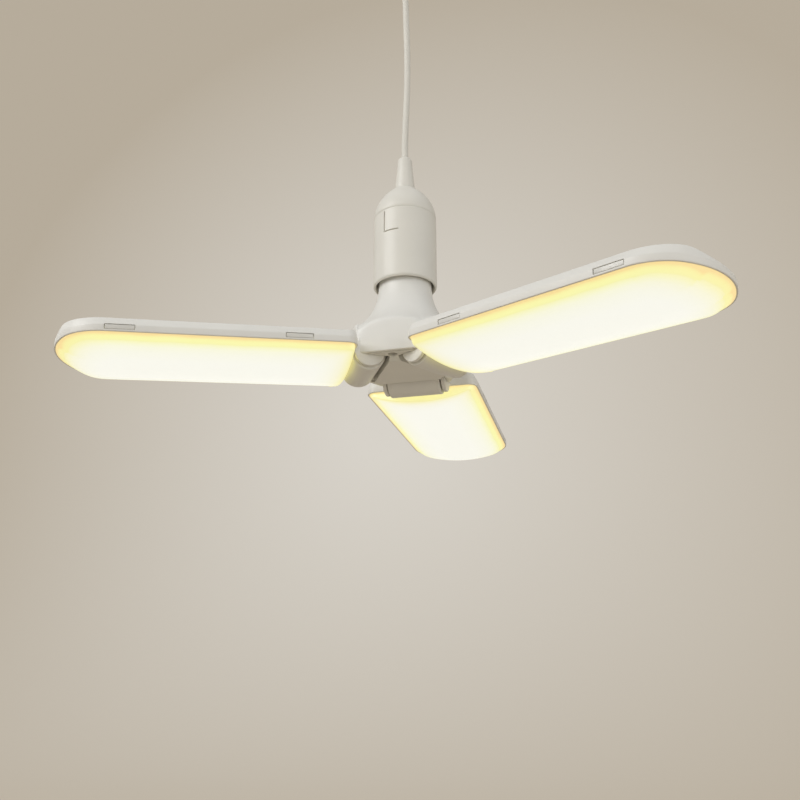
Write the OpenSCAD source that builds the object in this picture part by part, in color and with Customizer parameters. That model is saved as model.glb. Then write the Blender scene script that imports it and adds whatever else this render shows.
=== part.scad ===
// Hanging folding lamp. Three long light panels are hinged to a bell-shaped hub
// that screws into a lampholder, which hangs on a cord from a ceiling rose.
// Millimetres, +Z up. The origin is the middle of the ceiling bracket's upper face.
// Panel 1 points along +Y, and panels 2 and 3 follow every 120 degrees.

/* [Panels] */
// Length of a panel's casing, root to tip
panel_len = 154; // [110:1:220]
// Width of a panel's casing
panel_w = 71; // [60:1:76]
// Height of the casing's side wall
panel_h = 8; // [7.6:0.1:12]
// Thickness of the casing's side wall
panel_wall = 1.6; // [1.2:0.1:2.2]
// Thickness of the casing's back
panel_back = 1.8; // [1.4:0.1:2.2]
// Radius of the blunt arc across the tip
tip_arc_r = 46; // [40:1:90]
// Radius of the tip's two corners
tip_corner_r = 24; // [16:1:27]
// Radius of the root's two corners
root_corner_r = 6; // [2:0.5:8]
// Width and height of the bevel along the back's long edges
edge_bevel_w = 2.4; // [1:0.1:3]
edge_bevel_h = 4.5; // [1:0.1:5]
// Length of the slope that ends the casing's back at the tip
tip_slope_len = 6; // [5:0.5:7]
// Drop of that slope
tip_slope_drop = 4; // [1:0.1:4.2]
// Angle that an unfolded panel hangs below level
rest_droop = 3; // [0:0.5:6]

/* [Diffusers] */
// Depth of the diffuser at its middle, below the casing's rim
dome_h = 8; // [5.5:0.5:12]
// Width and height of the steep border round the diffuser
dome_edge_w = 3.3; // [1:0.1:5]
dome_edge_h = 2.7; // [1:0.1:4]
// Thickness of the diffuser
diffuser_t = 1.5; // [1:0.1:2.5]
// Length over which the arch rises to the tip
dome_tip_len = 22; // [18:1:50]
// Length of each clip that holds the diffuser
clip_len = 14; // [8:1:20]
// Height of each clip's nose
clip_h = 2.4; // [1.6:0.1:2.6]
// Height of the noses above the casing's rim
clip_z = 1.2; // [1:0.1:1.4]
// Distance of the nearer pair of clips from the casing's root
clip_near = 31.5; // [20:0.5:40]
// Distance of the farther pair of clips from the casing's root
clip_far = 119.5; // [80:0.5:119.5]
// Distance of the two casing screws from the root and from the tip
screw_near = 26; // [20:1:40]
screw_far = 24; // [20:1:40]

/* [Light boards] */
// Thickness of the light board
board_t = 1.6; // [1:0.1:2]
// Gap between the light board and the casing's back
board_gap = 1.4; // [1.2:0.1:1.8]
// Rows of light chips on a board
led_rows = 3; // [1:1:5]
// Chips in a row
led_count = 12; // [4:1:20]
// Length, width and height of a chip
led_l = 3.5; // [2:0.1:5]
led_w = 2.8; // [2:0.1:4]
led_t = 0.8; // [0.5:0.1:1]
// Distance of the outer chips from the ends and from the sides of the casing
led_margin_x = 12; // [10:1:20]
led_margin_y = 15; // [12:1:20]

/* [Hinges] */
// Distance from the lamp's middle to a hinge axis
hinge_out = 25.2; // [24:0.1:26]
// Height of the hinge axis above the panel's rim
hinge_up = 1.9; // [1:0.1:2.6]
// Radius of the knuckle
knuckle_r = 9.8; // [8:0.1:10.2]
// Width of the knuckle
knuckle_w = 32; // [26:0.5:33]
// Thickness of the ears beside the knuckle
ear_t = 2.4; // [2:0.1:3]
// Radius of the ears
ear_r = 8.6; // [6:0.1:8.6]
// Radius of the hinge pin
pin_r = 1.5; // [1:0.1:2.5]
// Depth of the pin's seat in an ear
pin_seat = 1.6; // [1:0.1:2]
// Thickness of the friction washers
washer_t = 0.6; // [0.3:0.1:1]
// Outer radius of the friction washers
washer_r = 5; // [3.5:0.5:6.5]
// Gap between the hub's face and the panel's root
root_gap = 1.4; // [1:0.1:3]

/* [Hub] */
// Distance from the middle to the hub's hinge faces
hinge_face = 32.8; // [32.4:0.1:34]
// Distance from the middle to the hub's plain faces
plain_face = 32; // [31.6:0.1:33]
// Height of the hinge boxes
box_h = 21.5; // [19:0.5:24]
// Corner radius of the hinge boxes
box_corner_r = 9; // [5:0.5:11]
// Height of the opening below a hinge box's lip
lip_z = 12.3; // [12:0.1:14]
// Thickness of the hub's shell
hub_wall = 1.8; // [1.4:0.1:2.4]
// Outer radius of the hub's neck
neck_r = 15.85; // [15:0.05:16.5]
// Height of the neck's top above the panel rims
neck_z = 52; // [50:0.5:58]
// Radius of the flare from the neck to the hub
flare_r = 40; // [37:0.5:44]
// Height of the sloped collar above the neck
collar_h = 5; // [3:0.5:7]
// Thickness of the bottom cover
cover_t = 2; // [1.6:0.1:3]
// Depth that the cover's middle stands below the panel rims
cover_belly = 3; // [1:0.1:4]
// Distance from the middle to the foot of the step where the cover's middle ends
belly_out = 24; // [23:0.1:24.4]
// Distance from the middle to a cover screw
screw_out = 26.4; // [26:0.1:26.6]

/* [Screw cap] */
// Largest radius of the cap's thread
thread_r = 13.1; // [12.9:0.01:13.2]
// Depth of the thread
thread_depth = 1; // [0.6:0.1:1.2]
// Pitch of the thread
thread_pitch = 3.629; // [3.4:0.001:3.8]
// Number of thread ridges
thread_turns = 4; // [3:1:5]
// Height of the plain skirt below the thread
skirt_h = 6.5; // [4:0.5:9]
// Thickness of the cap's sheet
cap_sheet = 0.4; // [0.3:0.05:0.6]

/* [Lampholder] */
// Outer radius of the lampholder
holder_r = 19.2; // [18.6:0.1:22]
// Wall of the lampholder
holder_wall = 1.8; // [1.4:0.1:2]
// How far the holder's rim reaches below the top of the hub's neck
rim_overlap = 1; // [0.5:0.1:2]
// Height of the insulating core
core_h = 7; // [6:0.5:10]
// Length of the dome's tongue inside the sleeve
tongue_h = 4; // [2:0.5:8]
// Height of the dome above the sleeve
holder_dome_h = 21.5; // [18:0.5:30]
// Inner radius of the holder's screw shell
shell_r = 13.45; // [13.3:0.05:13.8]

/* [Cord and ceiling rose] */
// Radius of the cord
cord_r = 2.1; // [1.8:0.1:2.2]
// Free length of cord between the ceiling rose and the strain relief
cord_free = 170; // [170:1:1500]
// Length of the tapered strain relief
boot_len = 23.5; // [20:0.5:60]
// Radius of the strain relief at its base
boot_r = 6.3; // [5.6:0.1:8]
// Radius of the strain relief at its rounded top
boot_top_r = 4.4; // [3.8:0.1:5.2]
// Radius of the ceiling rose
rose_r = 40; // [36:1:60]
// Height of the ceiling rose
rose_h = 25; // [20:1:40]
// Wall of the ceiling rose
rose_wall = 2; // [1.5:0.1:3]
// Distance between the bracket's two ceiling screws
ceiling_screw_gap = 50; // [44:1:56]
// Radius of the ceiling screw holes
ceiling_hole_r = 2.2; // [1.8:0.1:3]

/* [Hidden] */
$fn = 64;
fit_gap = 0.3;
slide_gap = 0.1;
pin_clear = 0.05;
seat_clear = 0.02;
arc_steps = 10;
dome_fullness = 1.3;

// Levels above the plane of the panel rims
collar_z = neck_z + collar_h;
thread_z = collar_z + skirt_h;
thread_top_z = thread_z + thread_turns * thread_pitch;
cap_top_z = thread_top_z + 2.6;
contact_z = cap_top_z + 2.4;
holder_rim_z = neck_z - rim_overlap;
core_z = contact_z + 3;
core_top_z = core_z + core_h;
sleeve_top_z = core_top_z + tongue_h;
dome_top_z = sleeve_top_z + holder_dome_h;
boot_top_z = dome_top_z + boot_len;
grip_len = 12;
drop = boot_top_z + cord_free + grip_len + rose_h;

// Panel places along its length, counted from the lamp's middle
panel_root = hinge_face + root_gap;
panel_tip = panel_root + panel_len;
back_in_z = panel_h - panel_back;
board_z = back_in_z - board_t - board_gap;
board_inset = panel_wall + 3.4;
screw_places = [panel_root + screw_near, panel_tip - screw_far];
clip_places = [panel_root + clip_near, panel_root + clip_far];

// Hinge
ear_in = knuckle_w / 2 + washer_t + 2 * slide_gap;
ear_out = ear_in + ear_t;
pin_len = 2 * (ear_in + pin_seat - slide_gap);
pocket_in = hinge_out - knuckle_r - 1.2;

// Hub
flare_axis_r = neck_r + flare_r;
box_depth = 8;
cover_boss_r = 3.6;
cover_boss_h = 6;
cover_hole_r = 2.6;
cover_head_h = 1.6;
tap_r = 1.15;
hub_screw_len = 7;
spigot_r = thread_r - cap_sheet - 0.25;
spigot_top_z = thread_z - 1.2;
spigot_wall = 1.6;

// Cord
cord_sides = 10;
cord_route = [
    [0, 0, -11.8],
    [0, 0, -26],
    [0, 0, -38],
    [0.1, 0, -50],
    [0.4, 0.1, -66],
    [0.8, 0.2, -84],
    [1.2, 0.3, -102],
    [1.6, 0.4, -120],
    [1.7, 0.4, -137],
    [1.5, 0.4, -153],
    [1.0, 0.3, -168],
    [0.5, 0.1, -181],
    [0.1, 0, -194],
    [0, 0, -206],
    [0, 0, -220],
    [0, 0, -235]
];
cord_step = 10;
// Length of sheathed cord inside the holder's dome
cord_tail = 4.5;

plastic_white = "#f4f3ee";
diffuser_white = "#f6efdc";
metal_grey = "#c4c6c8";
brass_yellow = "#c9a548";
board_green = "#2f6b46";

// ---------------------------------------------------------------- helpers

// Points of an arc from angle a0 to a1
function arc(cx, cy, r, a0, a1, n = arc_steps) =
    [for (i = [0 : n]) let (a = a0 + (a1 - a0) * i / n) [cx + r * cos(a), cy + r * sin(a)]];

// A point of an outline mirrored across the panel's long axis
function flip_y(points) =
    [for (i = [len(points) - 1 : -1 : 0]) [points[i][0], -points[i][1]]];

// Lifts a lamp part from the plane of the panel rims to its place under the ceiling
module hang() {
    translate([0, 0, -drop]) children();
}

// Turns a part from +X to the direction of panel i
module toward_panel(i) {
    rotate([0, 0, 90 + 120 * (i - 1)]) children();
}

// Turns a panel's part to its direction and lets it hang by the resting droop
module panel_at_rest(i) {
    toward_panel(i) translate([hinge_out, 0, hinge_up]) rotate([0, rest_droop, 0])
        translate([-hinge_out, 0, -hinge_up]) children();
}

// Repeats a part toward the three plain faces of the hub
module at_plain_faces() {
    for (i = [0 : 2]) rotate([0, 0, 30 + 120 * i]) children();
}

// Repeats a part toward the three hinges
module at_hinges() {
    for (i = [1 : 3]) toward_panel(i) children();
}

// Outline of a panel seen from above, drawn in by the distance d
module panel_outline(d = 0) {
    half_w = panel_w / 2 - d;
    arc_r = tip_arc_r - d;
    corner_r = tip_corner_r - d;
    root_r = max(root_corner_r - d, 0.5);
    arc_x = panel_tip - tip_arc_r;
    corner_y = half_w - corner_r;
    corner_x = arc_x + sqrt(pow(arc_r - corner_r, 2) - pow(corner_y, 2));
    split = atan2(corner_y, corner_x - arc_x);
    half_line = concat(
        arc(arc_x, 0, arc_r, 0, split, 6),
        arc(corner_x, corner_y, corner_r, split, 90, 8),
        arc(panel_root + d + root_r, half_w - root_r, root_r, 90, 180, 4)
    );
    polygon(concat(half_line, flip_y(half_line)));
}

// Six-sided outline of the hub, drawn in by the distance d
module hub_outline(d = 0) {
    hinge_a = hinge_face - d;
    plain_a = plain_face - d;
    corner = (plain_a - hinge_a * cos(60)) / sin(60);
    points = [
        for (i = [0 : 2]) for (s = [-1, 1])
            let (a = 90 + 120 * i)
            [hinge_a * cos(a) - s * corner * sin(a), hinge_a * sin(a) + s * corner * cos(a)]
    ];
    polygon(points);
}

// Half section of the bell: outer surface for d = 0, inner surface for d = hub_wall
module bell_section(d = 0) {
    foot_r = hinge_face + 8;
    foot_angle = 180 + acos((flare_axis_r - foot_r) / (flare_r + d));
    foot_z = neck_z + (flare_r + d) * sin(foot_angle);
    flare = arc(flare_axis_r, neck_z, flare_r + d, 180, foot_angle, 12);
    polygon(concat([[0, neck_z]], flare, [[foot_r, 0], [0, 0]]));
}

// Straight round rod between two points
module rod(from, to, r) {
    line = to - from;
    length = norm(line);
    tilt = acos(line[2] / length);
    turn = atan2(line[1], line[0]);
    translate(from) rotate([0, tilt, turn]) cylinder(r = r, h = length, $fn = 16);
}

// ------------------------------------------------------- rose and lampholder

bracket_t = 2.5;

module ceiling_bracket() {
    bar_w = 16;
    bar_l = ceiling_screw_gap + 16;
    color(metal_grey) difference() {
        translate([-bar_l / 2, -bar_w / 2, -bracket_t]) cube([bar_l, bar_w, bracket_t]);
        for (s = [-1, 1]) {
            translate([s * ceiling_screw_gap / 2, 0, -bracket_t - 1])
                cylinder(r = ceiling_hole_r, h = bracket_t + 2);
            translate([s * rose_screw_x(), 0, -bracket_t - 1])
                cylinder(r = rose_screw_r() + seat_clear, h = bracket_t + 2);
        }
    }
}

function rose_screw_x() = ceiling_screw_gap / 2 - 9;
function rose_screw_r() = 1.75;

module ceiling_rose() {
    color(plastic_white) difference() {
        rotate_extrude() polygon(concat(
            [[0, -rose_h], [rose_r - 5, -rose_h]],
            arc(rose_r - 5, -rose_h + 5, 5, -90, 0, 6),
            [[rose_r, 0], [rose_r - rose_wall, 0], [rose_r - rose_wall, -rose_h + 5]],
            arc(rose_r - 5, -rose_h + 5, 5 - rose_wall, 0, -90, 6),
            [[0, -rose_h + rose_wall]]
        ));
        translate([0, 0, -rose_h - 1]) cylinder(r = grip_thread_r(), h = rose_wall + 2);
        for (s = [-1, 1]) translate([s * rose_screw_x(), 0, -rose_h - 1])
            cylinder(r = rose_screw_r() + slide_gap, h = rose_wall + 2);
    }
}

function grip_thread_r() = 5;

module rose_screws() {
    head_r = 3.4;
    head_h = 2.2;
    color(metal_grey) for (s = [-1, 1]) translate([s * rose_screw_x(), 0, -rose_h]) {
        difference() {
            translate([0, 0, -head_h]) cylinder(r = head_r, h = head_h);
            translate([-head_r, -0.4, -head_h - 1]) cube([2 * head_r, 0.8, 1.9]);
        }
        cylinder(r = rose_screw_r(), h = rose_h - 0.5);
    }
}

module cord_grip() {
    nut_z = -rose_h + rose_wall;
    bore_r = cord_r + slide_gap;
    color(plastic_white) rotate_extrude() polygon([
        [bore_r, -rose_h - grip_len],
        [4.2, -rose_h - grip_len],
        [7.5, -rose_h - 5],
        [7.5, -rose_h],
        [grip_thread_r() - seat_clear, -rose_h],
        [grip_thread_r() - seat_clear, nut_z],
        [8, nut_z],
        [8, nut_z + 4],
        [bore_r, nut_z + 4]
    ]);
}

module terminal_block() {
    block = [24, 11, 9];
    color("#e8e6df") translate([-block[0] / 2, -block[1] / 2, -bracket_t - block[2]]) difference() {
        cube(block);
        for (i = [0 : 2]) translate([4 + 8 * i, block[1] / 2, -1]) cylinder(r = 1.6, h = 5);
    }
}

// Ring of the cord's tube: a regular polygon round a point of the route
function cord_ring(p) =
    [for (i = [0 : cord_sides - 1])
        let (a = 360 * i / cord_sides)
        [p[0] + cord_r * cos(a), p[1] + cord_r * sin(a), p[2]]];

// Route points with rings added along each stretch
function cord_points() = concat(
    [for (i = [0 : len(cord_route) - 2])
        let (a = cord_route[i], b = cord_route[i + 1], n = ceil(norm(b - a) / cord_step))
        for (k = [0 : n - 1]) a + (b - a) * k / n],
    [cord_route[len(cord_route) - 1]]
);

module cord() {
    route = cord_points();
    rings = len(route);
    points = [for (p = route) for (q = cord_ring(p)) q];
    side = [
        for (r = [0 : rings - 2]) for (i = [0 : cord_sides - 1])
            let (a = r * cord_sides + i, b = r * cord_sides + (i + 1) % cord_sides)
            for (face = [[a, b, a + cord_sides], [b, b + cord_sides, a + cord_sides]]) face
    ];
    top = [for (i = [1 : cord_sides - 2]) [0, i + 1, i]];
    last = (rings - 1) * cord_sides;
    bottom = [for (i = [1 : cord_sides - 2]) [last, last + i, last + i + 1]];
    color(plastic_white) polyhedron(points, concat(side, top, bottom));
}

module strain_relief() {
    bore_r = cord_r + slide_gap;
    plug_r = boot_r - plug_step;
    round_r = 1.5;
    color(plastic_white) hang() rotate_extrude() polygon(concat(
        [[bore_r, dome_top_z - plug_len], [plug_r, dome_top_z - plug_len], [plug_r, dome_top_z],
         [boot_r, dome_top_z], [boot_r - 0.2, dome_top_z + 3]],
        arc(boot_top_r - round_r, boot_top_z - round_r, round_r, 0, 90, 5),
        [[bore_r, boot_top_z]]
    ));
}

// Plug of the strain relief in the dome's hole
plug_step = 1.6;
plug_len = 3;

// Half outline of the dome from its foot to its flat top, drawn in by d
function dome_line(d) =
    let (top_r = boot_r + 0.6, end = acos(top_r / holder_r), side = holder_r - top_r)
    [for (i = [0 : arc_steps])
        let (a = end * i / arc_steps, share = max(0, (holder_r * cos(a) - top_r) / side))
        [top_r + side * pow(share, dome_fullness) - d,
         sleeve_top_z + (holder_dome_h - d) * sin(a) / sin(end)]];

module holder_dome() {
    tongue_r = sleeve_in() - seat_clear;
    tongue_z = core_top_z + seat_clear;
    inner = dome_line(holder_wall);
    hole_r = boot_r - plug_step + seat_clear;
    color(plastic_white) hang() rotate_extrude() polygon(concat(
        dome_line(0),
        [[hole_r, dome_top_z], [hole_r, dome_top_z - holder_wall]],
        [for (i = [arc_steps : -1 : 1]) [inner[i][0], min(inner[i][1], dome_top_z - holder_wall)]],
        [[tongue_r - 1.4, sleeve_top_z],
         [tongue_r - 1.4, tongue_z],
         [tongue_r, tongue_z],
         [tongue_r, sleeve_top_z]]
    ));
}

// Radius inside the holder's sleeve
function sleeve_in() = holder_r - holder_wall;

module holder_sleeve() {
    rim_r = 2;
    groove = 0.7;
    groove_w = 0.6;
    lock_h = 14;
    ledge_w = 1.4;
    ledge_z = core_z - seat_clear;
    color(plastic_white) hang() difference() {
        rotate_extrude() polygon(concat(
            [[holder_r, sleeve_top_z],
             [sleeve_in(), sleeve_top_z],
             [sleeve_in(), ledge_z],
             [sleeve_in() - ledge_w, ledge_z],
             [sleeve_in() - ledge_w, ledge_z - 1],
             [sleeve_in(), ledge_z - 1 - ledge_w]],
            [[sleeve_in(), holder_rim_z + 0.8], [sleeve_in() + 0.8, holder_rim_z]],
            arc(holder_r - rim_r, holder_rim_z + rim_r, rim_r, -60, 0, 5)
        ));
        // L-shaped line of the sleeve's lock
        rotate([0, 0, -115]) translate([holder_r - groove, 0, sleeve_top_z - 1.5 - lock_h]) {
            translate([0, -groove_w / 2, 0]) cube([3, groove_w, lock_h]);
            translate([groove - holder_r, 0, 0]) rotate_extrude(angle = 28)
                translate([holder_r - groove, 0]) square([3, groove_w]);
        }
    }
}

// Recess under the core that holds the spring contact
recess_r = 6.4;
recess_top_z = core_z + 2;

module holder_core() {
    lip_h = 3;
    color("#e9e6dc") hang() difference() {
        union() {
            translate([0, 0, core_z]) cylinder(r = sleeve_in() - slide_gap, h = core_h);
            translate([0, 0, core_z - lip_h]) cylinder(r = shell_r - slide_gap, h = lip_h + 1);
        }
        translate([0, 0, core_z - lip_h - 1])
            cylinder(r = recess_r, h = recess_top_z - core_z + lip_h + 1);
        for (s = [-1, 1]) translate([s * terminal_x(), 0, core_top_z - terminal_depth])
            cylinder(r = terminal_r + seat_clear, h = terminal_depth + 1);
    }
}

terminal_r = 1.5;
terminal_depth = 5;
terminal_head_h = 2;

function terminal_x() = 9.5;

module holder_shell() {
    sheet = 0.5;
    low_z = collar_z + 1.5;
    color(brass_yellow) hang() difference() {
        translate([0, 0, low_z]) cylinder(r = shell_r + sheet, h = core_z - low_z);
        translate([0, 0, low_z - 1]) cylinder(r = shell_r, h = core_z - low_z + 2);
    }
}

module holder_contact() {
    strip_w = 5;
    strip_t = 0.5;
    strip_l = 6;
    low_z = contact_z + fit_gap;
    high_z = recess_top_z - seat_clear;
    color(brass_yellow) hang() translate([-strip_l / 2, -strip_w / 2, 0]) {
        translate([0, 0, low_z]) cube([strip_l, strip_w, strip_t]);
        translate([strip_l - strip_t, 0, low_z]) cube([strip_t, strip_w, high_z - low_z]);
        translate([0, 0, high_z - strip_t]) cube([strip_l, strip_w, strip_t]);
    }
}

module holder_terminals() {
    head_r = 3;
    slot_w = 0.8;
    color(metal_grey) hang() for (s = [-1, 1]) translate([s * terminal_x(), 0, core_top_z]) {
        translate([0, 0, -terminal_depth]) cylinder(r = terminal_r, h = terminal_depth + 0.2);
        difference() {
            cylinder(r = head_r, h = terminal_head_h);
            translate([-head_r, -slot_w / 2, terminal_head_h / 2])
                cube([2 * head_r, slot_w, terminal_head_h]);
        }
    }
}

// Insulated cores from the cord's end to the holder's terminals
module cord_cores() {
    core_r = 0.7;
    start_z = dome_top_z - cord_tail - 0.6;
    color("#7a5a3c") hang() for (s = [-1, 1])
        rod([s * 1, 0, start_z],
            [s * terminal_x(), 0, core_top_z + terminal_head_h + fit_gap], core_r);
}

// ------------------------------------------------------------------- lamp hub

// Outer line of the cap's thread, drawn in by d
function thread_line(d) =
    let (steps = 6)
    [for (i = [0 : thread_turns * steps])
        [thread_r - thread_depth * (1 - cos(360 * i / steps - 180)) / 2 - d,
         thread_z + thread_pitch * i / steps]];

module cap_shell() {
    skirt_r = thread_r;
    outer = thread_line(0);
    inner = thread_line(cap_sheet);
    top_r = 9;
    color(metal_grey) hang() rotate_extrude() polygon(concat(
        [[skirt_r, collar_z], [skirt_r, thread_z - 0.6]],
        outer,
        [[top_r, cap_top_z], [top_r - 1, cap_top_z], [top_r - 1, cap_top_z - cap_sheet]],
        [for (i = [len(inner) - 1 : -1 : 0]) inner[i]],
        [[skirt_r - cap_sheet, thread_z - 0.6], [skirt_r - cap_sheet, collar_z]]
    ));
}

// Rivet that carries the centre contact
rivet_r = 1.5;
rivet_tail = 2.5;
contact_t = 0.4;

module cap_insulator() {
    disc_z = contact_z - contact_t - slide_gap;
    color("#dfe4e8") hang() rotate_extrude() polygon([
        [rivet_r + seat_clear, cap_top_z - 1.5],
        [7.9, cap_top_z - 1.5],
        [7.9, cap_top_z],
        [7.4, cap_top_z + 0.9],
        [6.2, disc_z - 0.2],
        [4.8, disc_z],
        [rivet_r + seat_clear, disc_z]
    ]);
}

module cap_contact() {
    color(metal_grey) hang() {
        translate([0, 0, cap_top_z - rivet_tail])
            cylinder(r = rivet_r, h = contact_z - cap_top_z + rivet_tail - contact_t / 2);
        translate([0, 0, contact_z - contact_t]) cylinder(r = 4.5, h = contact_t);
    }
}

// Box of one hinge from x0 to x1, with rounded upper corners, drawn in by d
module hinge_box(x0, x1, foot = 0, d = 0) {
    side = ear_out - d;
    top = box_h - d;
    corner_r = box_corner_r - d;
    rotate([90, 0, 90]) translate([0, 0, x0]) linear_extrude(x1 - x0)
        polygon(concat(
            [[side, foot]],
            arc(side - corner_r, top - corner_r, corner_r, 0, 90, 6),
            arc(-side + corner_r, top - corner_r, corner_r, 90, 180, 6),
            [[-side, foot]]
        ));
}

module hub_solid() {
    intersection() {
        rotate_extrude() bell_section();
        linear_extrude(neck_z) hub_outline();
    }
}

module hub_cavity() {
    roof = neck_z + 1;
    intersection() {
        rotate_extrude() bell_section(hub_wall);
        translate([0, 0, -1]) linear_extrude(roof) hub_outline(hub_wall);
    }
    translate([0, 0, -1]) linear_extrude(1.5) hub_outline(hub_wall);
}

// Ears on both sides of a knuckle, toward +X
module hinge_ears() {
    for (s = [-1, 1]) translate([0, s * (ear_in + ear_t / 2), 0]) {
        translate([hinge_out, 0, hinge_up]) rotate([90, 0, 0])
            cylinder(r = ear_r, h = ear_t, center = true);
        translate([pocket_in, -ear_t / 2, 0]) cube([hinge_face - 1 - pocket_in, ear_t, box_h - 8]);
    }
}

// Space that a knuckle turns in, and its way out under the lip
module hinge_pocket() {
    translate([pocket_in, -ear_in, -2 * knuckle_r])
        cube([hinge_face, 2 * ear_in, 2 * knuckle_r + lip_z]);
}

// Seats of the hinge pin in the two ears
module pin_seats() {
    translate([hinge_out, 0, hinge_up]) rotate([90, 0, 0])
        cylinder(r = pin_r + seat_clear, h = 2 * (ear_in + pin_seat), center = true);
}

module hub_housing() {
    color(plastic_white) hang() difference() {
        union() {
            difference() {
                union() {
                    hub_solid();
                    at_hinges() hinge_box(hinge_face - box_depth, hinge_face);
                    neck_collar();
                }
                hub_cavity();
                translate([0, 0, neck_z - 6]) cylinder(r = spigot_r - spigot_wall, h = spigot_top_z - neck_z + 7);
                at_hinges()
                    hinge_box(hinge_face - box_depth - 1, hinge_face - hub_wall, -1, ear_t);
            }
            at_hinges() hinge_ears();
            intersection() {
                hub_solid();
                at_plain_faces() translate([screw_out, 0, cover_t + cover_boss_h + seat_clear])
                    cylinder(r = cover_boss_r, h = neck_z);
            }
        }
        at_hinges() hinge_pocket();
        at_hinges() pin_seats();
        at_plain_faces() translate([screw_out, 0, 0])
            cylinder(r = tap_r, h = cover_t + cover_boss_h + hub_screw_len);
    }
}

// Sloped collar over the neck, and the spigot that the cap is pressed on
module neck_collar() {
    rotate_extrude() polygon([
        [0, neck_z - 0.5],
        [neck_r, neck_z - 0.5],
        [neck_r, neck_z + 1],
        [thread_r + 1, collar_z],
        [spigot_r, collar_z],
        [spigot_r, spigot_top_z],
        [0, spigot_top_z]
    ]);
}

// Cover: a three-armed plate whose middle stands proud and steps up to a level pad on each arm
module hub_cover() {
    play = 0.2;
    pad_z = -0.4;
    step_w = 1.6;
    head_seat_z = cover_t + cover_boss_h - 1.5;
    color(plastic_white) hang() difference() {
        union() {
            translate([0, 0, -cover_belly]) linear_extrude(cover_t + cover_belly) difference() {
                hub_outline(hub_wall + play);
                at_hinges() translate([pocket_in - play, -ear_out - play])
                    square([30, 2 * (ear_out + play)]);
            }
            at_plain_faces() translate([screw_out, 0, 0])
                cylinder(r = cover_boss_r - 0.05, h = cover_t + cover_boss_h);
        }
        // steps up to the arms' pads
        at_plain_faces() rotate([90, 0, 0]) linear_extrude(2 * plain_face, center = true) polygon([
            [belly_out - step_w, -cover_belly - 1],
            [belly_out - step_w, -cover_belly],
            [belly_out, pad_z],
            [plain_face, pad_z],
            [plain_face, -cover_belly - 1]
        ]);
        // hollow behind the proud middle
        translate([0, 0, wall_inside_z()]) linear_extrude(cover_t + 1 - wall_inside_z())
            intersection() {
                circle(r = screw_out - cover_boss_r - 1);
                polygon([for (i = [0 : 2])
                    let (a = 30 + 120 * i, r = 2 * (pocket_in - play - cover_t))
                    [r * cos(a), r * sin(a)]]);
            }
        at_plain_faces() translate([screw_out, 0, -cover_belly - 1]) {
            cylinder(r = cover_hole_r, h = head_seat_z + cover_belly + 1);
            cylinder(r = tap_r + 0.4, h = head_seat_z + cover_belly + 3);
        }
    }
}

// Level of the cover's inner face behind its proud middle
function wall_inside_z() = cover_t - cover_belly;

module hub_screws() {
    seat = cover_t + cover_boss_h - 1.5;
    color(metal_grey) hang() at_plain_faces() translate([screw_out, 0, seat]) {
        difference() {
            translate([0, 0, -cover_head_h]) cylinder(r = cover_hole_r - 0.2, h = cover_head_h);
            for (a = [0, 90]) rotate([0, 0, a])
                translate([-1.3, -0.3, -cover_head_h - 1]) cube([2.6, 0.6, 1.9]);
        }
        cylinder(r = tap_r - seat_clear, h = hub_screw_len);
    }
}

// ------------------------------------------------------- driver inside the hub

driver_z = 14;
driver_top_z = neck_z - 1.5;
driver_t = 1.6;
lead_r = 0.6;
lead_red = "#b33a32";

module driver_board() {
    half = neck_r - hub_wall - fit_gap;
    color(board_green) hang() translate([-half, -driver_t / 2, driver_z])
        cube([2 * half, driver_t, driver_top_z - driver_z]);
}

module driver_capacitor() {
    color("#3a3d45") hang() translate([-5, -driver_t / 2 - 4.2, 30]) cylinder(r = 4, h = 14);
}

module driver_choke() {
    color("#8a5a2a") hang() translate([5, driver_t / 2 + 5.2, 20]) {
        cylinder(r = 5, h = 1.2);
        cylinder(r = 3.6, h = 9);
        translate([0, 0, 9]) cylinder(r = 5, h = 1.2);
    }
}

module driver_bridge() {
    color("#1d1d20") hang() translate([2, -driver_t / 2 - 2.7, 20]) cube([7, 2.6, 6]);
}

module cap_leads() {
    low_z = driver_top_z + fit_gap;
    color(lead_red) hang() {
        rod([0, 0, low_z], [0, 0, cap_top_z - rivet_tail - fit_gap], lead_r);
        rod([6, 0, low_z], [thread_r - thread_depth - cap_sheet - 1, 0, thread_z + 1], lead_r);
    }
}

// Two leads from the board's lower edge to each hinge
module panel_leads() {
    edge_z = driver_z - lead_r - fit_gap;
    end_x = pocket_in - lead_r;
    end_z = lip_z - 2;
    color(lead_red) hang() for (i = [1 : 3]) for (s = [-1, 1]) {
        a = 90 + 120 * (i - 1);
        start_x = 7 * cos(a) + 1.4 * s;
        rod([start_x, 0, edge_z],
            [end_x * cos(a) - 2 * s * sin(a), end_x * sin(a) + 2 * s * cos(a), end_z], lead_r);
    }
}

// --------------------------------------------------------------------- panels

// Casing's back slopes down at the tip
module tip_slope() {
    x = panel_tip - tip_slope_len;
    rotate([90, 0, 0]) linear_extrude(panel_w + 2, center = true) polygon([
        [x, panel_h],
        [panel_tip + 1, panel_h - tip_slope_drop * (tip_slope_len + 1) / tip_slope_len],
        [panel_tip + 1, panel_h + 3],
        [x, panel_h + 3]
    ]);
}

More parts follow.
